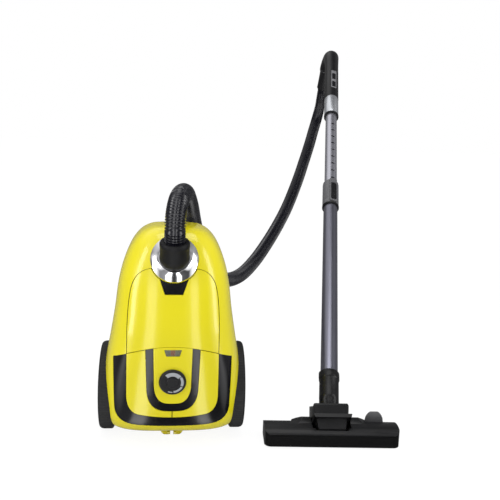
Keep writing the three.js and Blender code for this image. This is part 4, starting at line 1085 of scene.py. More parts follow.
    def build_shells(self) -> None:
        """Makes the base and the upper shell out of one hollow form."""
        inner = self.wheel_outer - self.wheel_width - self.wheel_gap
        radius = self.wheel_radius + self.wheel_gap
        hollow = self.form(self.wall)
        for side in (-1, 1):
            cut(hollow, self.well(side, radius + self.wall, inner - self.wall))
        cut(hollow, self.caster_pocket(self.wall, 0))
        whole = cut(self.form(), hollow)
        for side in (-1, 1):
            cut(whole, self.well(side, radius, inner))
        base = copy_of(whole)
        cut(base, block(-FAR, FAR, -FAR, 2 * FAR, self.split - self.split_gap, 400))
        cut(base, self.caster_pocket(0, -10))
        cut(base, plate(rounded(44, 34, 6, 0, 95), 0, 12))  # seat of the exhaust grille
        for side in (-1, 1):
            joined(base, plate(rounded(16, 11, 4, side * 62, 20), 14, 30))  # over the rest feet
        finished(placed(base, MACHINE), "base_moulding", "canister", SATIN_BLACK,
                 ["base_shell"], 30)

        cut(whole, block(-FAR, FAR, -FAR, 2 * FAR, -60, self.split + self.split_gap))
        cut(whole, within(self.lid_region(1.5 * self.seam), self.above_seam(-self.seam / 2)))
        cut(whole, cut(self.u_region(Nested.OUTER_TRIM, self.seam), self.above_seam(0)))
        port = placed(rod(24, -40, 40), shift(*INLET_SEAT) @ lean(INLET_TILT))
        cord_way = placed(rod(9, 0, 40, 32), shift(-92, 0, 112) @ lean(90))
        cut(whole, port, cord_way)
        finished(placed(whole, MACHINE), "body_moulding", "canister", YELLOW, ["upper_shell"], 30)

    def build_front(self) -> None:
        """Makes the lid, its latch and the two black trims."""
        lid = self.panel_piece(self.lid_region(0), self.wall, above=True)
        cut(lid, self.latch_region(self.seam))
        finished(placed(lid, MACHINE), "lid_moulding", "lid_panel", YELLOW, ["lid"], 30)

        latch = within(self.form(self.latch_sink), self.latch_region(0), self.lid_region(0))
        cut(latch, self.form(self.latch_sink + self.latch_wall))
        finished(placed(latch, MACHINE), "latch_button", "latch", GLOSS_BLACK, ["lid_latch"], 30)

        for name, outside, inside in (("outer_trim", Nested.OUTER_TRIM, Nested.PEDALS),
                                      ("inner_trim", Nested.INNER_TRIM, Nested.PANEL)):
            strip = cut(self.u_region(outside, 0), self.u_region(inside, 0))
            finished(placed(self.panel_piece(strip, self.panel), MACHINE), f"{name}_strip",
                     "canister", GLOSS_BLACK, [name], 30)

    def build_panel(self) -> None:
        """Makes the two pedals and the control panel between them."""
        pedals = self.u_region(Nested.PEDALS, -self.seam)
        cut(pedals, self.u_region(Nested.INNER_TRIM, self.seam), self.above_seam(-self.seam))
        pair = self.panel_piece(pedals, self.panel)
        for side, body, node in ((-1, "left_pedal", "power_pedal"),
                                 (1, "right_pedal", "rewind_pedal")):
            half = copy_of(pair)
            cut(half, block(-self.seam, FAR, 0, FAR, 0, FAR) if side < 0
                else block(-FAR, self.seam, 0, FAR, 0, FAR))
            finished(placed(half, MACHINE), f"{node}_cap", body, YELLOW, [node], 30)
        bpy.data.objects.remove(pair)

        face = self.panel_piece(self.u_region(Nested.PANEL, -self.seam), self.panel)
        hole = placed(rod(4.3, -20, 20, 24), shift(*DIAL_SEAT) @ lean(DIAL_TILT))
        cut(face, hole, plate(self.window_outline(0), 200, FAR))
        finished(placed(face, MACHINE), "control_face", "canister", YELLOW, ["control_panel"], 30)

    def window_outline(self, grow: float) -> Outline:
        """Trapezoid of the bag indicator's window."""
        return [(-16 - grow, 207 + grow), (-12.2 - grow, 194.5 - grow),
                (12.2 + grow, 194.5 - grow), (16 + grow, 207 + grow)]

    def build_controls(self) -> None:
        """Makes the dial with its printed scale, and the bag indicator."""
        knob = turned([(0, 0.8), (24.6, 0.8), (25, 1.4), (25, 3.4), (24.2, 4.6), (22.4, 5.2),
                       (21.7, 5.3), (21.2, 5.0), (11.2, 5.0), (10.8, 5.4), (10.6, 7.4), (9.6, 8.2),
                       (0, 8.4)], 96)
        shaft = rod(4, -9, 1.5, 24)
        finished(placed(joined(knob, shaft), DIAL), "power_dial_knob", "dial", SATIN_BLACK,
                 ["power_dial"], 30)
        # Each mark of the scale runs from an angle to another and widens between two radii.
        arcs = [(38, 132, 12.6, 20.0), (-22, 34, 15.6, 20.4), (-84, -28, 17.0, 20.6),
                (-114, -90, 18.6, 20.6)]
        for number, (start, end, inner, outer) in enumerate(arcs, 1):
            outline = arc(0, 0, outer, start, end, 16) + arc(0, 0, inner + 0.001, end, start, 16)
            mark = plate(outline, 4.95, 5.12)
            finished(placed(mark, DIAL), f"dial_scale_{number}", "dial", SCALE_GREY)
        pane = within(self.form(0.6), plate(self.window_outline(-0.4), 200, FAR))
        cut(pane, self.form(2.2))
        finished(placed(pane, MACHINE), "indicator_pane", "canister", CLEAR, ["indicator_window"])
        tray = block(-17, 17, 193.4, 208.2, 222.4, 223.6)
        finished(placed(bevelled(tray, 0.3), MACHINE), "indicator_tray", "canister", GREY)

    def build_inlet(self) -> None:
        """Makes the bright ring and the swivelling elbow."""
        ring = turned([(23.4, 3), (44, 3), (44, 5.4), (43, 6.6), (36, 10.2), (30.6, 13.6),
                       (29.2, 15), (27.6, 15), (26.4, 14), (23.4, 13.6)], 128)
        finished(placed(ring, INLET), "inlet_ring_bright", "canister", CHROME, ["inlet_ring"])
        radius, rest = self.ball_radius, self.ring_rest
        elbow = turned([(14.5, -27), (19.6, -27), (19.6, rest), (radius, rest), (radius, 21),
                        (14.5, 21)], 64)
        placed(elbow, lean(INLET_TILT))
        dome = placed(ball(radius), shift(0, 0, BALL_DISTANCE))
        within(dome, rod(60, rest, 90))
        placed(dome, lean(INLET_TILT))
        cuff = turned([(0, -2), (radius, -2), (radius, 20), (27.4, 21), (27.4, 26.5), (26.6, 28),
                       (25.4, 30), (0, 30)], 72)
        centre = Vector((0, BALL_DISTANCE * math.sin(math.radians(INLET_TILT)),
                         BALL_DISTANCE * math.cos(math.radians(INLET_TILT))))
        along_cuff = Matrix.Translation(centre) @ lean(90 - CUFF_TILT)
        joined(elbow, dome, placed(cuff, along_cuff))
        cut(elbow, placed(rod(self.hose_seat, 7.4, 40), along_cuff))
        finished(placed(elbow, MACHINE @ shift(*INLET_SEAT)), "inlet_elbow_cuff", "inlet_elbow",
                 MATTE_BLACK, ["swivel_elbow"], 40)

    def build_wheels(self) -> None:
        """Makes the big side wheels with their treads, and the caster."""
        inner, outer = self.wheel_outer - self.wheel_width, self.wheel_outer
        radius = self.wheel_radius
        disc = [(5.3, inner + 3), (58, inner + 3), (66, inner + 0.2), (79, inner + 0.2),
                (80.5, inner + 3), (80.5, outer - 4), (77, outer - 1.4), (71, outer - 2.5),
                (60, outer - 3.6), (36, outer - 5.2), (32, outer - 1.6), (29, outer - 0.6),
                (3, outer - 0.5), (3, outer - 8), (5.3, outer - 8)]
        tyre = [(80.7, inner + 0.4), (84, inner + 0.1), (86.6, inner + 1.6), (radius, inner + 4),
                (radius, outer - 8), (86.4, outer - 3.4), (84, outer - 0.6), (80.7, outer - 0.2)]
        for side, word in ((-1, "left"), (1, "right")):
            place = MACHINE @ shift(0, radius, self.wheel_level) @ turn(90 * side, "Y")
            finished(placed(turned(disc, 96), place), f"wheel_disc_{word}", f"wheel_{word[0]}",
                     SATIN_BLACK, [f"wheel_{word}"], 25)
            tread = turned(tyre, self.grooves * 2)
            for vertex in [v for v in tread.data.vertices if v.co.xy.length > radius - 0.2]:
                angle = math.degrees(math.atan2(vertex.co.y, vertex.co.x))
                if round(angle * self.grooves / 180) % 2:
                    vertex.co.xy *= (radius - self.groove_depth) / radius
            finished(placed(tread, place), f"wheel_tyre_{word}", f"wheel_{word[0]}", RUBBER, (), 20)
        roll = turned([(2.9, -8.7), (14.5, -8.7), (16, -8), (17, -6), (17, 6), (16, 8), (14.5, 8.7),
                       (2.9, 8.7)], 64)
        place = MACHINE @ shift(0, 318, 17) @ turn(90, "Y")
        finished(placed(roll, place), "caster_roll", "caster_roll", GREY, ["caster_wheel"])

    def build_rear(self) -> None:
        """Makes the parking bracket, the rest feet and the exhaust grille."""
        half: Outline = [(3, 0), (3, 5.5), (9, 5.5), (9, 11.5)]
        side: Outline = [(24.5, 19.7), (23.6, 13)]
        side += bow(side[-1], (22.2, 5), (17.5, 1.4), 8) + bow((17.5, 1.4), (16, 0.1), (13.6, 0), 4)
        outline = side + half + mirrored(side + half)
        bracket = bevelled(plate(outline, 128, 136), 0.8, 3)
        flange = bevelled(block(-23, 23, 16.7, 19.7, 119, 142), 0.8, 2)
        finished(placed(joined(bracket, flange), MACHINE), "parking_tab", "canister", YELLOW,
                 ["parking_bracket"])
        for side_of, word in ((-1, "left"), (1, "right")):
            foot = plate(rounded(18, 9, 6.5, side_of * 62, -98), 0, 19.7)
            finished(placed(bevelled(foot, 1.6, 3), WORLD), f"rest_foot_{word}_pad", "canister",
                     RUBBER, [f"rest_foot_{word}"])
        grille = plate(rounded(43.7, 33.7, 6, 0, 95), 8.3, 10.6)
        for i in range(-6, 7):
            cut(grille, plate(rounded(36, 1.25, 1.2, 0, 95 + i * 4.6, 4), 0, 20))
        finished(placed(grille, MACHINE), "exhaust_louvre", "canister", SATIN_BLACK,
                 ["exhaust_grille"])

    def build(self) -> None:
        """Makes every piece of the canister."""
        self.build_shells()
        self.build_front()
        self.build_panel()
        self.build_controls()
        self.build_inlet()
        self.build_wheels()
        self.build_rear()


# ------------------------------------------------------------------ hose
@dataclass
class Hose:
    """Ribbed hose from the inlet elbow to the handle."""

    radius: float = 0.019
    rib_depth: float = 0.0021
    bore: float = 0.0145
    pitch: float = 0.0048
    around: int = 28
    # Shares of the pitch, each with 1 where the rib stands proud and 0 beside it.
    rib: Bands = ((0.08, 0), (0.3, 1), (0.62, 1), (0.84, 0))
    inset: float = 9.0  # in millimetres, as stop and swag
    stop: float = 45.0
    swag: tuple[Point, ...] = (
        (0, -222, 427), (1, -216, 449), (4, -200, 468), (8, -176, 479), (13, -146, 483),
        (18, -112, 479), (27, -50, 452), (38, 50, 402), (52, 115, 345), (72, 175.2, 290),
        (100.2, 242.9, 244.4), (135.7, 318.7, 216.1), (178.8, 409.3, 209.1),
        (229.8, 522.8, 226.6), (281.5, 629.6, 266.1), (328.2, 724.6, 312.7),
        (367.6, 804.8, 362.2), (413.2, 895.6, 441.2), (440.7, 957.7, 493.9),
        (468.9, 1016.9, 554), (491.6, 1072, 603.8), (505.3, 1100, 636.7), (515.3, 1112, 669.6),
        (521.9, 1112, 705.8))

    def route(self) -> Route:
        """The hose's way from the seat in the elbow to the seat in the handle's cuff.

        Returns:
            The route of the centreline.
        """
        lead = [CUFF @ Vector((0, 0, self.inset + 38 * share)) for share in (0, 0.5, 1)]
        tail = [TAIL @ Vector((0, 0, distance)) for distance in (95, 75, 60, self.stop)]
        return Route(lead + from_middle(*self.swag) + tail, steps=1800)

    def build(self) -> bpy.types.Object:
        """Returns:
            The hose.
        """
        route = self.route()
        count = round(route.length / self.pitch)
        step = route.length / count
        low, high = self.radius - self.rib_depth, self.radius
        rings = [(0.0, low)]
        for i in range(count):
            rings += [((i + share) * step, high if proud else low) for share, proud in self.rib]
        rings.append((route.length, low))
        rings += [(route.length * (1 - i / 90), self.bore) for i in range(91)]
        hose = route.tube(rings, self.around)
        finished(hose, "hose_ribbed", "canister", HOSE_BLACK, ["hose"], 60)
        path = [tuple(route.along(route.length * i / 180)) for i in range(181)]
        LOG.info("hose is %.3f m long", route.length)
        return hose


# ------------------------------------------------------------------ wand
@dataclass
class Wand:
    """Telescopic wand with its grip; distances run from the elbow's centre."""

    outer: float = 18.1
    outer_bore: float = 17.1
    inner: float = 16.8
    inner_bore: float = 15.2
    inner_start: float = 420.0
    collar: float = 21.4
    tube_start: float = 44.0
    collar_start: float = 582.0
    collar_end: float = 680.0
    key_start: float = 592.3
    key_length: float = 62.0
    key_travel: float = 5.0
    notch_start: float = 692.0
    notch_pitch: float = 31.7
    notches: int = 9
    ferrule_start: float = 1002.0
    ferrule_end: float = 1095.0
    grip: float = 22.0
    grip_straight: float = 190.0
    head_swell: float = 2.5
    grip_bore: float = 0.0145  # in metres, as the grip's seat
    grip_seat: float = 0.0168
    slider_start: float = 1136.0
    slider_end: float = 1237.0

    def along(self, distance: float) -> Vector:
        """Point on the wand's axis, in metres."""
        return WAND @ Vector((0, 0, distance))

    def bowl(self, half: float, low: float, high: float, radius: float,
             reach: float = 40.0) -> bpy.types.Object:
        """Round-cornered prism that looks at the wand's upper side, as a cutter.

        Args:
            half: half width.
            low: its start along the wand.
            high: its end along the wand.
            radius: radius of its corners.
            reach: how far it stands out from the axis.

        Returns:
            The cutter.
        """
        middle, length = (low + high) / 2, (high - low) / 2
        return placed(plate(rounded(half, length, radius, 0, middle, 6), 2, reach), turn(90, "X"))

    def band(self, bore: float, radius: float, start: float) -> bpy.types.Object:
        """Narrow round-edged band on the wand.

        Args:
            bore: radius of its bore.
            radius: its outer radius.
            start: where it begins along the wand.

        Returns:
            The band.
        """
        return turned([(bore, start), (radius - 0.4, start), (radius, start + 0.6),
                       (radius, start + 4.2), (radius - 0.4, start + 4.7), (bore, start + 4.7)], 96)

    def build_tubes(self) -> None:
        """Makes the two metal tubes."""
        tube = rod(self.outer, self.tube_start, self.collar_start + 24, 96, self.outer_bore)
        finished(placed(tube, WAND), "outer_tube_metal", "outer_wand", STEEL, ["outer_tube"])
        inner = rod(self.inner, self.inner_start, self.ferrule_start + 46, 96, self.inner_bore)
        for i in range(self.notches):
            z = self.notch_start + i * self.notch_pitch
            notch = placed(plate(rounded(5.4, 2.5, 2.4, 0, z, 5), 13.0, 20), turn(90, "X"))
            cut(inner, notch)
        finished(placed(inner, WAND), "inner_tube_metal", "canister", SILVER, ["inner_tube"])

    def build_collar(self) -> None:
        """Makes the telescope's collar, its ring and the release key."""
        start, end, radius = self.collar_start, self.collar_end, self.collar
        body = turned([(18.5, start + 5.3), (20.8, start + 5.3), (radius, start + 7),
                       (radius, start + 18), (20.9, start + 19), (20.9, start + 20.4),
                       (radius, start + 21.4), (radius, end - 7), (20.9, end - 3), (19.4, end),
                       (17.2, end), (17.2, start + 24.4), (18.5, start + 24.4)], 96)
        saddle = block(-9.8, 9.8, -25.8, -18, start + 6, end - 1.5)
        bevelled(saddle, 2.6, 4)
        cut(saddle, rod(19.8, start, end + 5))
        joined(body, saddle)
        key_end = self.key_start + self.key_length
        cut(body, self.bowl(7.4, self.key_start - 0.6, key_end + self.key_travel, 4.2, 30))
        core = turned([(18.6, start + 5.4), (20.5, start + 5.4), (20.5, end - 4), (17.3, end - 4),
                       (17.3, start + 24.5), (18.6, start + 24.5)], 64)
        joined(body, core)
        finished(placed(body, WAND), "telescope_collar_body", "outer_wand", COLLAR_GREY,
                 ["telescope_collar"])
        finished(placed(self.band(18.5, 22, start), WAND), "collar_band", "outer_wand",
                 SATIN_BLACK, ["collar_ring"])
        middle = (self.key_start + key_end) / 2
        key = plate(rounded(6.9, self.key_length / 2 - 0.1, 4, 0, middle, 6), 20.9, 28.4)
        for i in range(5):
            z = self.key_start + 8 + i * 3.2
            cut(key, block(-5, 5, z, z + 1.4, 27.6, 30))
        bevelled(key, 0.9, 3)
        finished(placed(key, WAND @ turn(90, "X")), "release_key", "button", SATIN_BLACK,
                 ["release_button"])

    def build_ferrule(self) -> None:
        """Makes the bright sleeve under the grip and a black band at its lower end, which stands
        for the shadow at the sleeve's step: painted shadow.
        """
        start, end = self.ferrule_start, self.ferrule_end
        sleeve = turned([(17.1, start + 5.3), (21.2, start + 5.3), (21.6, start + 6),
                         (21.6, end - 1), (21.2, end), (17.1, end)], 96)
        finished(placed(sleeve, WAND), "ferrule_sleeve", "canister", BRIGHT_SILVER, ["ferrule"])
        # The black band below the sleeve is painted shadow of the step edge, drawn as a ring.
        finished(placed(self.band(17.1, 22.2, start), WAND), "ferrule_shadow_band", "canister",
                 SATIN_BLACK, ["ferrule_ring"])

    def build_grip(self) -> None:
        """Makes the bent handle."""
        begin = self.ferrule_start + 50
        straight = self.ferrule_end + 0.3
        route = Route([self.along(begin), self.along(straight - 20), self.along(straight + 60),
                       self.along(straight + self.grip_straight), *from_middle(*HANDLE_BEND)])
        lead = (straight - begin) * MM
        turnoff = lead + self.grip_straight * MM
        grip, swell = self.grip * MM, self.head_swell * MM
        rings = [(0.0, self.grip_seat), (lead - 0.0002, self.grip_seat), (lead, grip - 0.001),
                 (lead + 0.001, grip)]
        rings += [(lead + share * 0.01, grip) for share in (4, 8, 12, 16)]
        for i in range(25):
            share = i / 24
            rings.append((turnoff + (route.length - turnoff) * share * 0.995,
                          grip + swell * min(1.0, share * 2) ** 1.3))
        rings.append((route.length, grip + swell - 0.0006))
        rings += [(route.length * (1 - i / 28), self.grip_bore) for i in range(29)]
        handle = route.tube(rings, 56)
        window = placed(self.bowl(4, self.slider_start + 30, self.slider_start + 60, 1, 24), WAND)
        cut(handle, window)
        finished(handle, "handle_grip", "canister", GRIP_BLACK, ["handle"], 40)

    def build_slider(self) -> None:
        """Makes the air slider: a pale frame over two dark wells."""
        low, high = self.slider_start, self.slider_end
        frame = turned([(22.7, low), (24.2, low), (24.6, low + 0.6), (24.6, high - 0.6),
                        (24.2, high), (22.7, high)], 128)
        within(frame, self.bowl(8.4, low, high, 3.2))
        cut(frame, self.bowl(6.2, low + 4, low + 36, 2.4), self.bowl(6.2, low + 48, low + 84, 2.4))
        finished(placed(frame, WAND), "air_slider_frame", "slider", PALE_GREY, ["bypass_slider"])
        for number, (start, end) in enumerate(((low + 3, low + 37), (low + 47, low + 85)), 1):
            well = turned([(22.7, start), (23.2, start), (23.2, start + 6), (23.6, end - 8),
                           (23.6, end), (22.7, end)], 128)
            within(well, self.bowl(6.9, start, end, 2.6))
            finished(placed(well, WAND), f"air_slider_well_{number}", "slider", GLOSS_BLACK)

    def build_cuff(self) -> None:
        """Makes the turning cuff between the handle and the hose."""
        cuff = turned([(14.5, 0.9), (24.0, 0.9), (24.4, 1.6), (24.4, 3.4), (24, 4.4), (22.6, 5.6),
                       (22.1, 7), (22.3, 30), (22.7, 68), (23, 71), (23, 74), (22.4, 75),
                       (20.2, 75), (20.2, 44.7), (14.5, 44.7)], 96)
        finished(placed(cuff, TAIL), "hose_end_cuff", "handle_cuff", SATIN_BLACK, ["hose_cuff"])
        bead = turned([(15, 0.3), (24.2, 0.3), (24.45, 0.45), (24.45, 0.75), (24.2, 0.9),
                       (15, 0.9)], 96)
        finished(placed(bead, TAIL), "cuff_bead", "handle_cuff", PALE_GREY)

    def build(self) -> None:
        """Makes every piece of the wand."""
        self.build_tubes()
        self.build_collar()
        self.build_ferrule()
        self.build_grip()
        self.build_slider()
        self.build_cuff()


# ------------------------------------------------------------------ nozzle
@dataclass
class Nozzle:
    """Floor nozzle with its tilting hood, pedal and rollers."""

    half: float = 132.5
    depth: float = 76.0
    hood_half: float = 37.0
    pivot: tuple[float, float] = (44.0, 22.0)
    sweep: float = 32.8
    pedal_x: float = 91.0
    neck_top: float = 59.0
    neck_radius: float = 20.0
    neck_bore: float = 14.5
    tube_start: float = 44.0
    bay_half: float = 38.0
    tilt_step: float = 5.0
    tilt_steps: int = 8
    # Below this height, faces that look forward take the painted shade of the front face.
    shade_top: float = 0.0272  # in metres
    shade_turn: float = 0.55  # least cosine between a face's normal and straight ahead

    def build_neck(self) -> None:
        """Makes the elbow between the wand and the hood."""
        top = self.neck_top
        neck = placed(turned([(0, 0), (20, 0), (20, top - 19), (20.4, top - 18), (21.0, top - 17),
                              (21.2, top - 16), (21.2, top - 2), (20.6, top - 0.4), (20, top),
                              (0, top)], 72), WAND)
        for side in (-1, 1):
            lug = block(side * 20.4 - 1.4, side * 20.4 + 1.4, -3.4, 3.4, top - 15, top - 1)
            joined(neck, placed(bevelled(lug, 0.5, 2), WAND))
        knuckle = placed(ball(self.neck_radius), frame_at(ELBOW_CENTRE))
        spigot = placed(turned([(0, -12), (17, -12), (17, 0.3), (20.7, 0.3), (21.1, 1.0), (21.1, 3),
                                (20.2, 5), (20, 7), (20, 17), (0, 17)], 72), SWIVEL)
        joined(neck, knuckle, spigot)
        cut(neck, placed(rod(18.7, self.tube_start - 0.3, 80, 64), WAND),
            placed(rod(self.neck_bore, 0, 46), WAND),
            placed(rod(self.neck_bore, -20, 17), SWIVEL))
        finished(neck, "nozzle_elbow", "outer_wand", SATIN_BLACK, ["nozzle_neck"], 40)

    def build_hood(self) -> None:
        """Makes the hood that tilts in the nozzle."""
        half = self.hood_half
        side = [(14.3, 35.1), (39.5, 74), (42, 76), (45.2, 75.2), (46.2, 68.3), (86, 50.6),
                (80, 34), (66, 15.5), (40, 15.5), (22, 22), (14.3, 29)]
        hood = placed(plate(side, -half, half), SIDE_ON)
        plan = plate([(-26, 13), (26, 13), (half, 48), (half, 90), (-half, 90), (-half, 48)], 0, 90)
        top: Outline = [(half, 58), (half - 1.4, 69)]
        top += bow(top[-1], (half - 2.6, 76.8), (half - 9, 77), 8)
        face = placed(plate([(-half, 0), (half, 0)] + top + mirrored(top), -95, 0), FACE_ON)
        bevelled(within(hood, plan, face), 2.0, 4, 24)
        room = placed(plate([(17.8, 34.5), (40.5, 69), (45, 65.4), (82, 49), (76.5, 35.5),
                             (63.5, 18), (63, 0), (40, 0), (24, 24)], -half + 3, half - 3), SIDE_ON)
        plan = plate([(-23, 13), (23, 13), (half - 3, 48), (half - 3, 87), (3 - half, 87),
                      (3 - half, 48)], -1, 90)
        cut(hood, within(room, plan))
        cut(hood, placed(rod(17.3, -14, 20), shift(*SWIVEL_SEAT) @ lean(SWIVEL_TILT)))
        finished(placed(hood, NOZZLE), "nozzle_hood", "hood_body", SATIN_BLACK, ["hood"], 30)

    def build_housing(self) -> None:
        """Makes the nozzle's housing with its arched front edge and bosses."""
        half, depth = self.half, self.depth
        side: Outline = [(0, 3), (0, 25), (0.8, 27.2), (3, 30), (8, 33.2), (14, 36), (20, 37.6),
                         (28, 38.2), (37, 37.6), (46, 36), (54, 33.4), (62, 30), (68, 26.4),
                         (72, 23), (76, 18), (76, 5), (74, 3)]
        shell = placed(plate(side, -half, half), SIDE_ON)
        within(shell, plate(rounded(half, depth / 2, 14, 0, depth / 2, 10), 0, 60))
        bevelled(shell, 0.9, 2, 35)
        room = placed(plate([(2.5, 0), (2.5, 24), (5, 27.6), (15, 33.2), (28, 35.4), (45, 33.3),
                             (60, 27.6), (70, 21), (73.5, 17), (73.5, 0)], -half + 2.5,
                            half - 2.5), SIDE_ON)
        within(room, plate(rounded(half - 2.5, depth / 2 - 2.5, 12, 0, depth / 2, 8), -1, 60))
        y, z = self.pivot
        cut(room, block(-41, 41, y - self.sweep - 3, 80, 7, 17),
            block(-41, 41, y - self.sweep - 5, 80, 16, 60))
        cut(shell, room)
        boss_side: Outline = [(30, 12), (30, 38), (38, 42.5), (46, 44), (54, 42.5), (62, 36),
                              (66, 30), (66, 12)]
        for mirror in (-1, 1):
            boss = placed(plate(boss_side, 37.9, 76), SIDE_ON)
            slope = placed(plate([(0, 0), (0, 50), (46.8, 50), (78, 30.6), (78, 0)], -90, 0),
                           FACE_ON)
            bevelled(within(boss, slope), 1.6, 3, 30)
            if mirror < 0:
                placed(boss, Matrix.Scale(-1, 4, (1, 0, 0)))
            joined(shell, boss)
        bay = self.bay_half
        drum = placed(rod(self.sweep, -bay, bay, 96), shift(0, y, z) @ turn(90, "Y"))
        cut(drum, block(-50, 50, -50, 100, -50, 7))
        cut(shell, block(-bay, bay, y, 90, 7, 80), drum)
        for step in range(1, self.tilt_steps + 1):
            cut(shell, self.hood_front(self.tilt_step * step))
        cut(shell, block(self.pedal_x - 19.2, self.pedal_x + 19.2, 54.9, 61.6, 8, 60))
        cut(shell, block(self.pedal_x - 13, self.pedal_x + 17, 38.6, 39.6, 33, 45))
        cut(shell, self.front_groove())
        finished(placed(shell, NOZZLE), "nozzle_shell", "nozzle", SATIN_BLACK, ["nozzle_housing"])
        self.paint_front_shade(shell)

    def paint_front_shade(self, shell: bpy.types.Object) -> None:
        """Gives the faces below the arched line a darker, duller black: painted shade on the front
        face.

        Args:
            shell: the finished housing, in the model's frame.
        """
        # Second material: painted shade on the forward-facing faces low on the front.
        shell.data.materials.append(FRONT_SHADE_BLACK.material())
        outward = NOZZLE.to_3x3().normalized() @ Vector((0, -1, 0))
        for face in shell.data.polygons:
            if face.center.z < self.shade_top and face.normal.dot(outward) > self.shade_turn:
                face.material_index = 1

    def hood_front(self, tilt: float) -> bpy.types.Object:
        """Cutter in the hood's front shape, tilted forward by some degrees.

        Args:
            tilt: degrees of forward tilt.

        Returns:
            The cutter, in the nozzle's frame.
        """
        y, z = self.pivot
        bay = self.bay_half
        front = placed(plate([(13.4, 26), (46, 26), (46, 75), (38.4, 75), (13.4, 35.4)], -bay,
                             bay), SIDE_ON)
        within(front, plate([(-27.5, 12), (27.5, 12), (bay, 46.5), (-bay, 46.5)], 0, 90))
        return placed(front, shift(0, y, z) @ turn(tilt, "X") @ shift(0, -y, -z))

    def front_groove(self) -> bpy.types.Object:
        """Cutter for the arched line between the front face and the top.

        Returns:
            The cutter, in the nozzle's frame.
        """
        middle, ends = 27.4, 24.6
        upper = [(x, middle - (middle - ends) * (x / 125) ** 2) for x in range(-125, 126, 10)]
        lower = [(x, y - 0.9) for x, y in reversed(upper)]
        return placed(plate(upper + lower, -0.7, 0.6), FACE_ON)

    def build_small(self) -> None:
        """Makes the pedal and the rollers."""
        outline: Outline = [(-18, 20), (18, 20), (18.5, 33), (17.5, 40)]
        outline += bow((17.5, 40), (15.5, 47), (10.5, 51), 6) + [(8.5, 52.6), (7, 53)]
        outline += mirrored(outline[2:])
        pedal = placed(plate(outline, -61.2, -55.3), FACE_ON)
        bevelled(pedal, 1.0, 3)
        cut(pedal, block(-18, 18, 54, 55.8, 40.2, 41.0))
        finished(placed(pedal, NOZZLE @ shift(self.pedal_x, 0, 0)), "mode_pedal", "pedal",
                 PEDAL_GREY, ["nozzle_pedal"])
        roll = turned([(0, -8), (2, -8), (2, -7.6), (6.2, -7.6), (7, -6.8), (7, 6.8), (6.2, 7.6),
                       (2, 7.6), (2, 8), (0, 8)], 40)
        for sign, word in ((-1, "left"), (1, "right")):
            place = NOZZLE @ shift(sign * 92, 63.5, 7) @ turn(90, "Y")
            finished(placed(copy_of(roll), place), f"sole_roller_{word}", f"roll_{word[0]}", GREY,
                     [f"roller_{word}"])
        bpy.data.objects.remove(roll)

    def build(self) -> None:
        """Makes every piece of the nozzle."""
        self.build_neck()
        self.build_hood()
        self.build_housing()
        self.build_small()


# ------------------------------------------------------------------ studio
@dataclass(frozen=True)
class Lamp:
    """Soft box that hangs at a place in millimetres; its size is in metres."""

    name: str
    place: tuple[float, float, float]
    power: float
    size: tuple[float, float]

    def hang(self, target: Vector) -> None:
        """Makes the lamp and aims it.

        Args:
            target: where it looks, in metres.
        """
        data = bpy.data.lights.new(self.name, "AREA")
        data.shape = "RECTANGLE"
        data.size, data.size_y = self.size
        data.energy = self.power
        lamp = bpy.data.objects.new(self.name, data)
        bpy.context.collection.objects.link(lamp)
        spot = MIDDLE + Vector(self.place) * MM
        aim = (target - spot).to_track_quat("-Z", "Y").to_matrix().to_4x4()
        lamp.matrix_world = Matrix.Translation(spot) @ aim


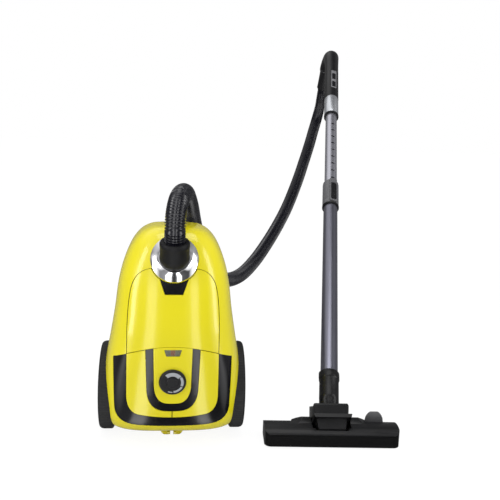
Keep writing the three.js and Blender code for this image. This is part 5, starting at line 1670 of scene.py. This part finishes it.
@dataclass
class Studio:
    """Camera of the photograph, white floor and soft lamps.

    What shiny surfaces mirror of the room is a row of bright bands, each given by its direction
    sideways, from -1 on the left to 1 on the right, and its strength.
    """

    camera_place: tuple[float, float, float] = (0.0, -1444.6, 608.6)
    yaw: float = -6.28
    pitch: float = 80.0
    roll: float = 2.04
    lens: float = 50.0
    sensor: float = 36.0
    floor_size: float = 30.0
    floor_place: tuple[float, float, float] = (0.0, 6.0, -0.0005)
    floor_grey: float = 0.8
    floor_glow: float = 1.1
    glow_share: float = 0.84
    dim: float = 0.3
    bright: float = 0.7
    horizon: tuple[float, float] = (0.05, 0.75)
    glare: float = 5.0
    behind: float = 0.22
    overhead: tuple[float, float] = (0.4, 0.7)
    front: tuple[float, float] = (-0.35, 0.15)
    low_bands: Bands = (
        (-1.0, 0.1), (-0.97, 0.15), (-0.9, 1.8), (-0.8, 1.0), (-0.68, 0.3), (-0.46, 0.35),
        (-0.36, 3.2), (-0.2, 3.6), (-0.12, 0.3), (-0.05, 0.06), (0.05, 0.06), (0.12, 0.3),
        (0.2, 3.6), (0.3, 3.2), (0.4, 0.12), (0.68, 0.08), (0.8, 1.0), (0.9, 1.8), (0.97, 0.15),
        (1.0, 0.1))
    high_bands: Bands = (
        (-1.0, 0.3), (-0.75, 0.6), (-0.5, 1.0), (-0.12, 1.1), (0.06, 0.25), (0.4, 0.1),
        (0.6, 0.28), (0.75, 0.4), (1.0, 0.2))
    lamps: tuple[Lamp, ...] = (
        Lamp("left_box", (-1500, -900, 900), 13.0, (0.5, 2.0)),
        Lamp("right_box", (1700, -800, 900), 11.0, (0.5, 2.0)),
        Lamp("top_box", (200, -300, 2300), 14.0, (1.6, 1.2)))
    lamp_target: tuple[float, float, float] = (100.0, 0.0, 300.0)

    def build_camera(self) -> None:
        """Places the camera at the photograph's viewing angle."""
        data = bpy.data.cameras.new("photo_camera")
        data.lens = self.lens
        data.sensor_width = self.sensor
        camera = bpy.data.objects.new("photo_camera", data)
        bpy.context.collection.objects.link(camera)
        place = Matrix.Translation(MIDDLE + Vector(self.camera_place) * MM)
        camera.matrix_world = place @ turn(self.yaw, "Z") @ turn(self.pitch, "X") @ turn(
            self.roll, "Z")
        bpy.context.scene.camera = camera

    def build_floor(self, bands: bpy.types.NodeTree) -> None:
        """Lays the white floor.

        Args:
            bands: the group of what shiny surfaces mirror.
        """
        clear_selection()
        bpy.ops.mesh.primitive_plane_add(size=self.floor_size, location=self.floor_place)
        floor = bpy.context.object
        floor.name = "studio_floor"
        floor.data.materials.append(self.floor_material(bands))

    def bands_group(self) -> bpy.types.NodeTree:
        """Shader group: the brightness that shiny surfaces mirror in a direction.

        Returns:
            The group.
        """
        wiring = shader_group("studio_bands", {"Direction": "Vector"}, {"Strength": "Float"})
        given = wiring.add("NodeGroupInput").outputs
        result = wiring.add("NodeGroupOutput").inputs
        split = wiring.add("ShaderNodeSeparateXYZ", {0: given["Direction"]}).outputs
        side = wiring.add("ShaderNodeMapRange", {"Value": split["X"], "From Min": -1.0})
        low, high = (self.ramp(wiring, side.outputs["Result"], bands)
                     for bands in (self.low_bands, self.high_bands))
        depth = wiring.smooth_range(split["Y"], *self.front)
        rise = wiring.smooth_range(split["Z"], *self.overhead)
        around = wiring.mix(depth, low, self.behind / self.glare)
        blend = wiring.mix(rise, around, high)
        wiring.feed(result["Strength"], wiring.maths("MULTIPLY", blend, self.glare))
        return wiring.tree

    def ramp(self, wiring: Wiring, side: bpy.types.NodeSocket,
             bands: Bands) -> bpy.types.NodeSocket:
        """Adds a colour ramp of bands.

        Args:
            wiring: the tree that it joins.
            side: the output that looks it up.
            bands: direction sideways and strength, from left to right.

        Returns:
            The ramp's colour, as a share of the glare.
        """
        node = wiring.add("ShaderNodeValToRGB", {"Fac": side})
        ramp = node.color_ramp
        ramp.interpolation = "EASE"
        while len(ramp.elements) < len(bands):
            ramp.elements.new(0.5)
        for element, (place, strength) in zip(ramp.elements, bands):
            element.position = (place + 1) / 2
            element.color = (*[strength / self.glare] * 3, 1)
        return node.outputs["Color"]

    def floor_material(self, bands: bpy.types.NodeTree) -> bpy.types.Material:
        """White to the camera with a faint shadow, banded in reflections.

        Args:
            bands: the group of what shiny surfaces mirror.

        Returns:
            The floor's material.
        """
        material = bpy.data.materials.new("studio_white")
        material.use_nodes = True
        material.node_tree.nodes.clear()
        wiring = Wiring(material.node_tree)
        paint = wiring.add("ShaderNodeBsdfDiffuse", {"Color": (*[self.floor_grey] * 3, 1)})
        glow = wiring.add("ShaderNodeEmission", {"Strength": self.floor_glow})
        path = wiring.add("ShaderNodeLightPath").outputs
        share = wiring.maths("MULTIPLY", path["Is Camera Ray"], self.glow_share)
        seen = wiring.add("ShaderNodeMixShader",
                          {"Fac": share, 1: paint.outputs[0], 2: glow.outputs[0]})
        geometry = wiring.add("ShaderNodeNewGeometry")
        away = wiring.add("ShaderNodeVectorMath",
                          {0: geometry.outputs["Incoming"], "Scale": -1.0}, operation="SCALE")
        banded = wiring.add("ShaderNodeGroup", {"Direction": away.outputs["Vector"]},
                            node_tree=bands)
        mirrored_light = wiring.add("ShaderNodeEmission",
                                    {"Strength": banded.outputs["Strength"]})
        mix = wiring.add("ShaderNodeMixShader", {"Fac": path["Is Glossy Ray"],
                                                 1: seen.outputs[0],
                                                 2: mirrored_light.outputs[0]})
        wiring.add("ShaderNodeOutputMaterial", {"Surface": mix.outputs[0]})
        return material

    def build_world(self, bands: bpy.types.NodeTree) -> None:
        """White to the camera, dimmer towards the horizon, banded in reflections.

        Args:
            bands: the group of what shiny surfaces mirror.
        """
        world = bpy.data.worlds.new("studio_world")
        bpy.context.scene.world = world
        world.use_nodes = True
        wiring = Wiring(world.node_tree)
        way = wiring.add("ShaderNodeTexCoord").outputs["Generated"]
        split = wiring.add("ShaderNodeSeparateXYZ", {0: way}).outputs
        level = wiring.smooth_range(split["Z"], *self.horizon, self.dim, self.bright)
        path = wiring.add("ShaderNodeLightPath").outputs
        seen = wiring.maths("MAXIMUM", path["Is Camera Ray"], path["Is Transmission Ray"])
        whole = wiring.maths("MAXIMUM", seen, level)
        banded = wiring.add("ShaderNodeGroup", {"Direction": way}, node_tree=bands)
        back = world.node_tree.nodes["Background"].inputs
        wiring.feed(back["Color"], (1, 1, 1, 1))
        wiring.feed(back["Strength"],
                    wiring.mix(path["Is Glossy Ray"], whole, banded.outputs["Strength"]))

    def build(self) -> None:
        """Makes the studio."""
        self.build_camera()
        bands = self.bands_group()
        self.build_floor(bands)
        self.build_world(bands)
        for lamp in self.lamps:
            lamp.hang(MIDDLE + Vector(self.lamp_target) * MM)
        bpy.context.scene.view_settings.view_transform = "Standard"


def dress_nodes(frame: dict) -> None:
    """Gives every CAD node the finish of its slot.

    Args:
        frame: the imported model, as loaded.
    """
    finishes = {finish.slot: finish for finish in reversed(FINISHES)}
    slots = {row["node"]: row["material_slot"] for row in frame["record"]["subparts"]}
    for name, node in frame["nodes"].items():
        finish = finishes[slots[name]]
        for slot in node.material_slots:
            slot.material = finish.material()


def main() -> None:
    """Builds the dressed vacuum cleaner."""
    logging.basicConfig(level=logging.INFO, format="%(message)s")
    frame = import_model()
    Studio().build()
    Hose().build()
    dress_nodes(frame)
    Wand().build()
    Nozzle().build()
    Canister().build()
    clear_selection()


if __name__ == "__main__":
    main()
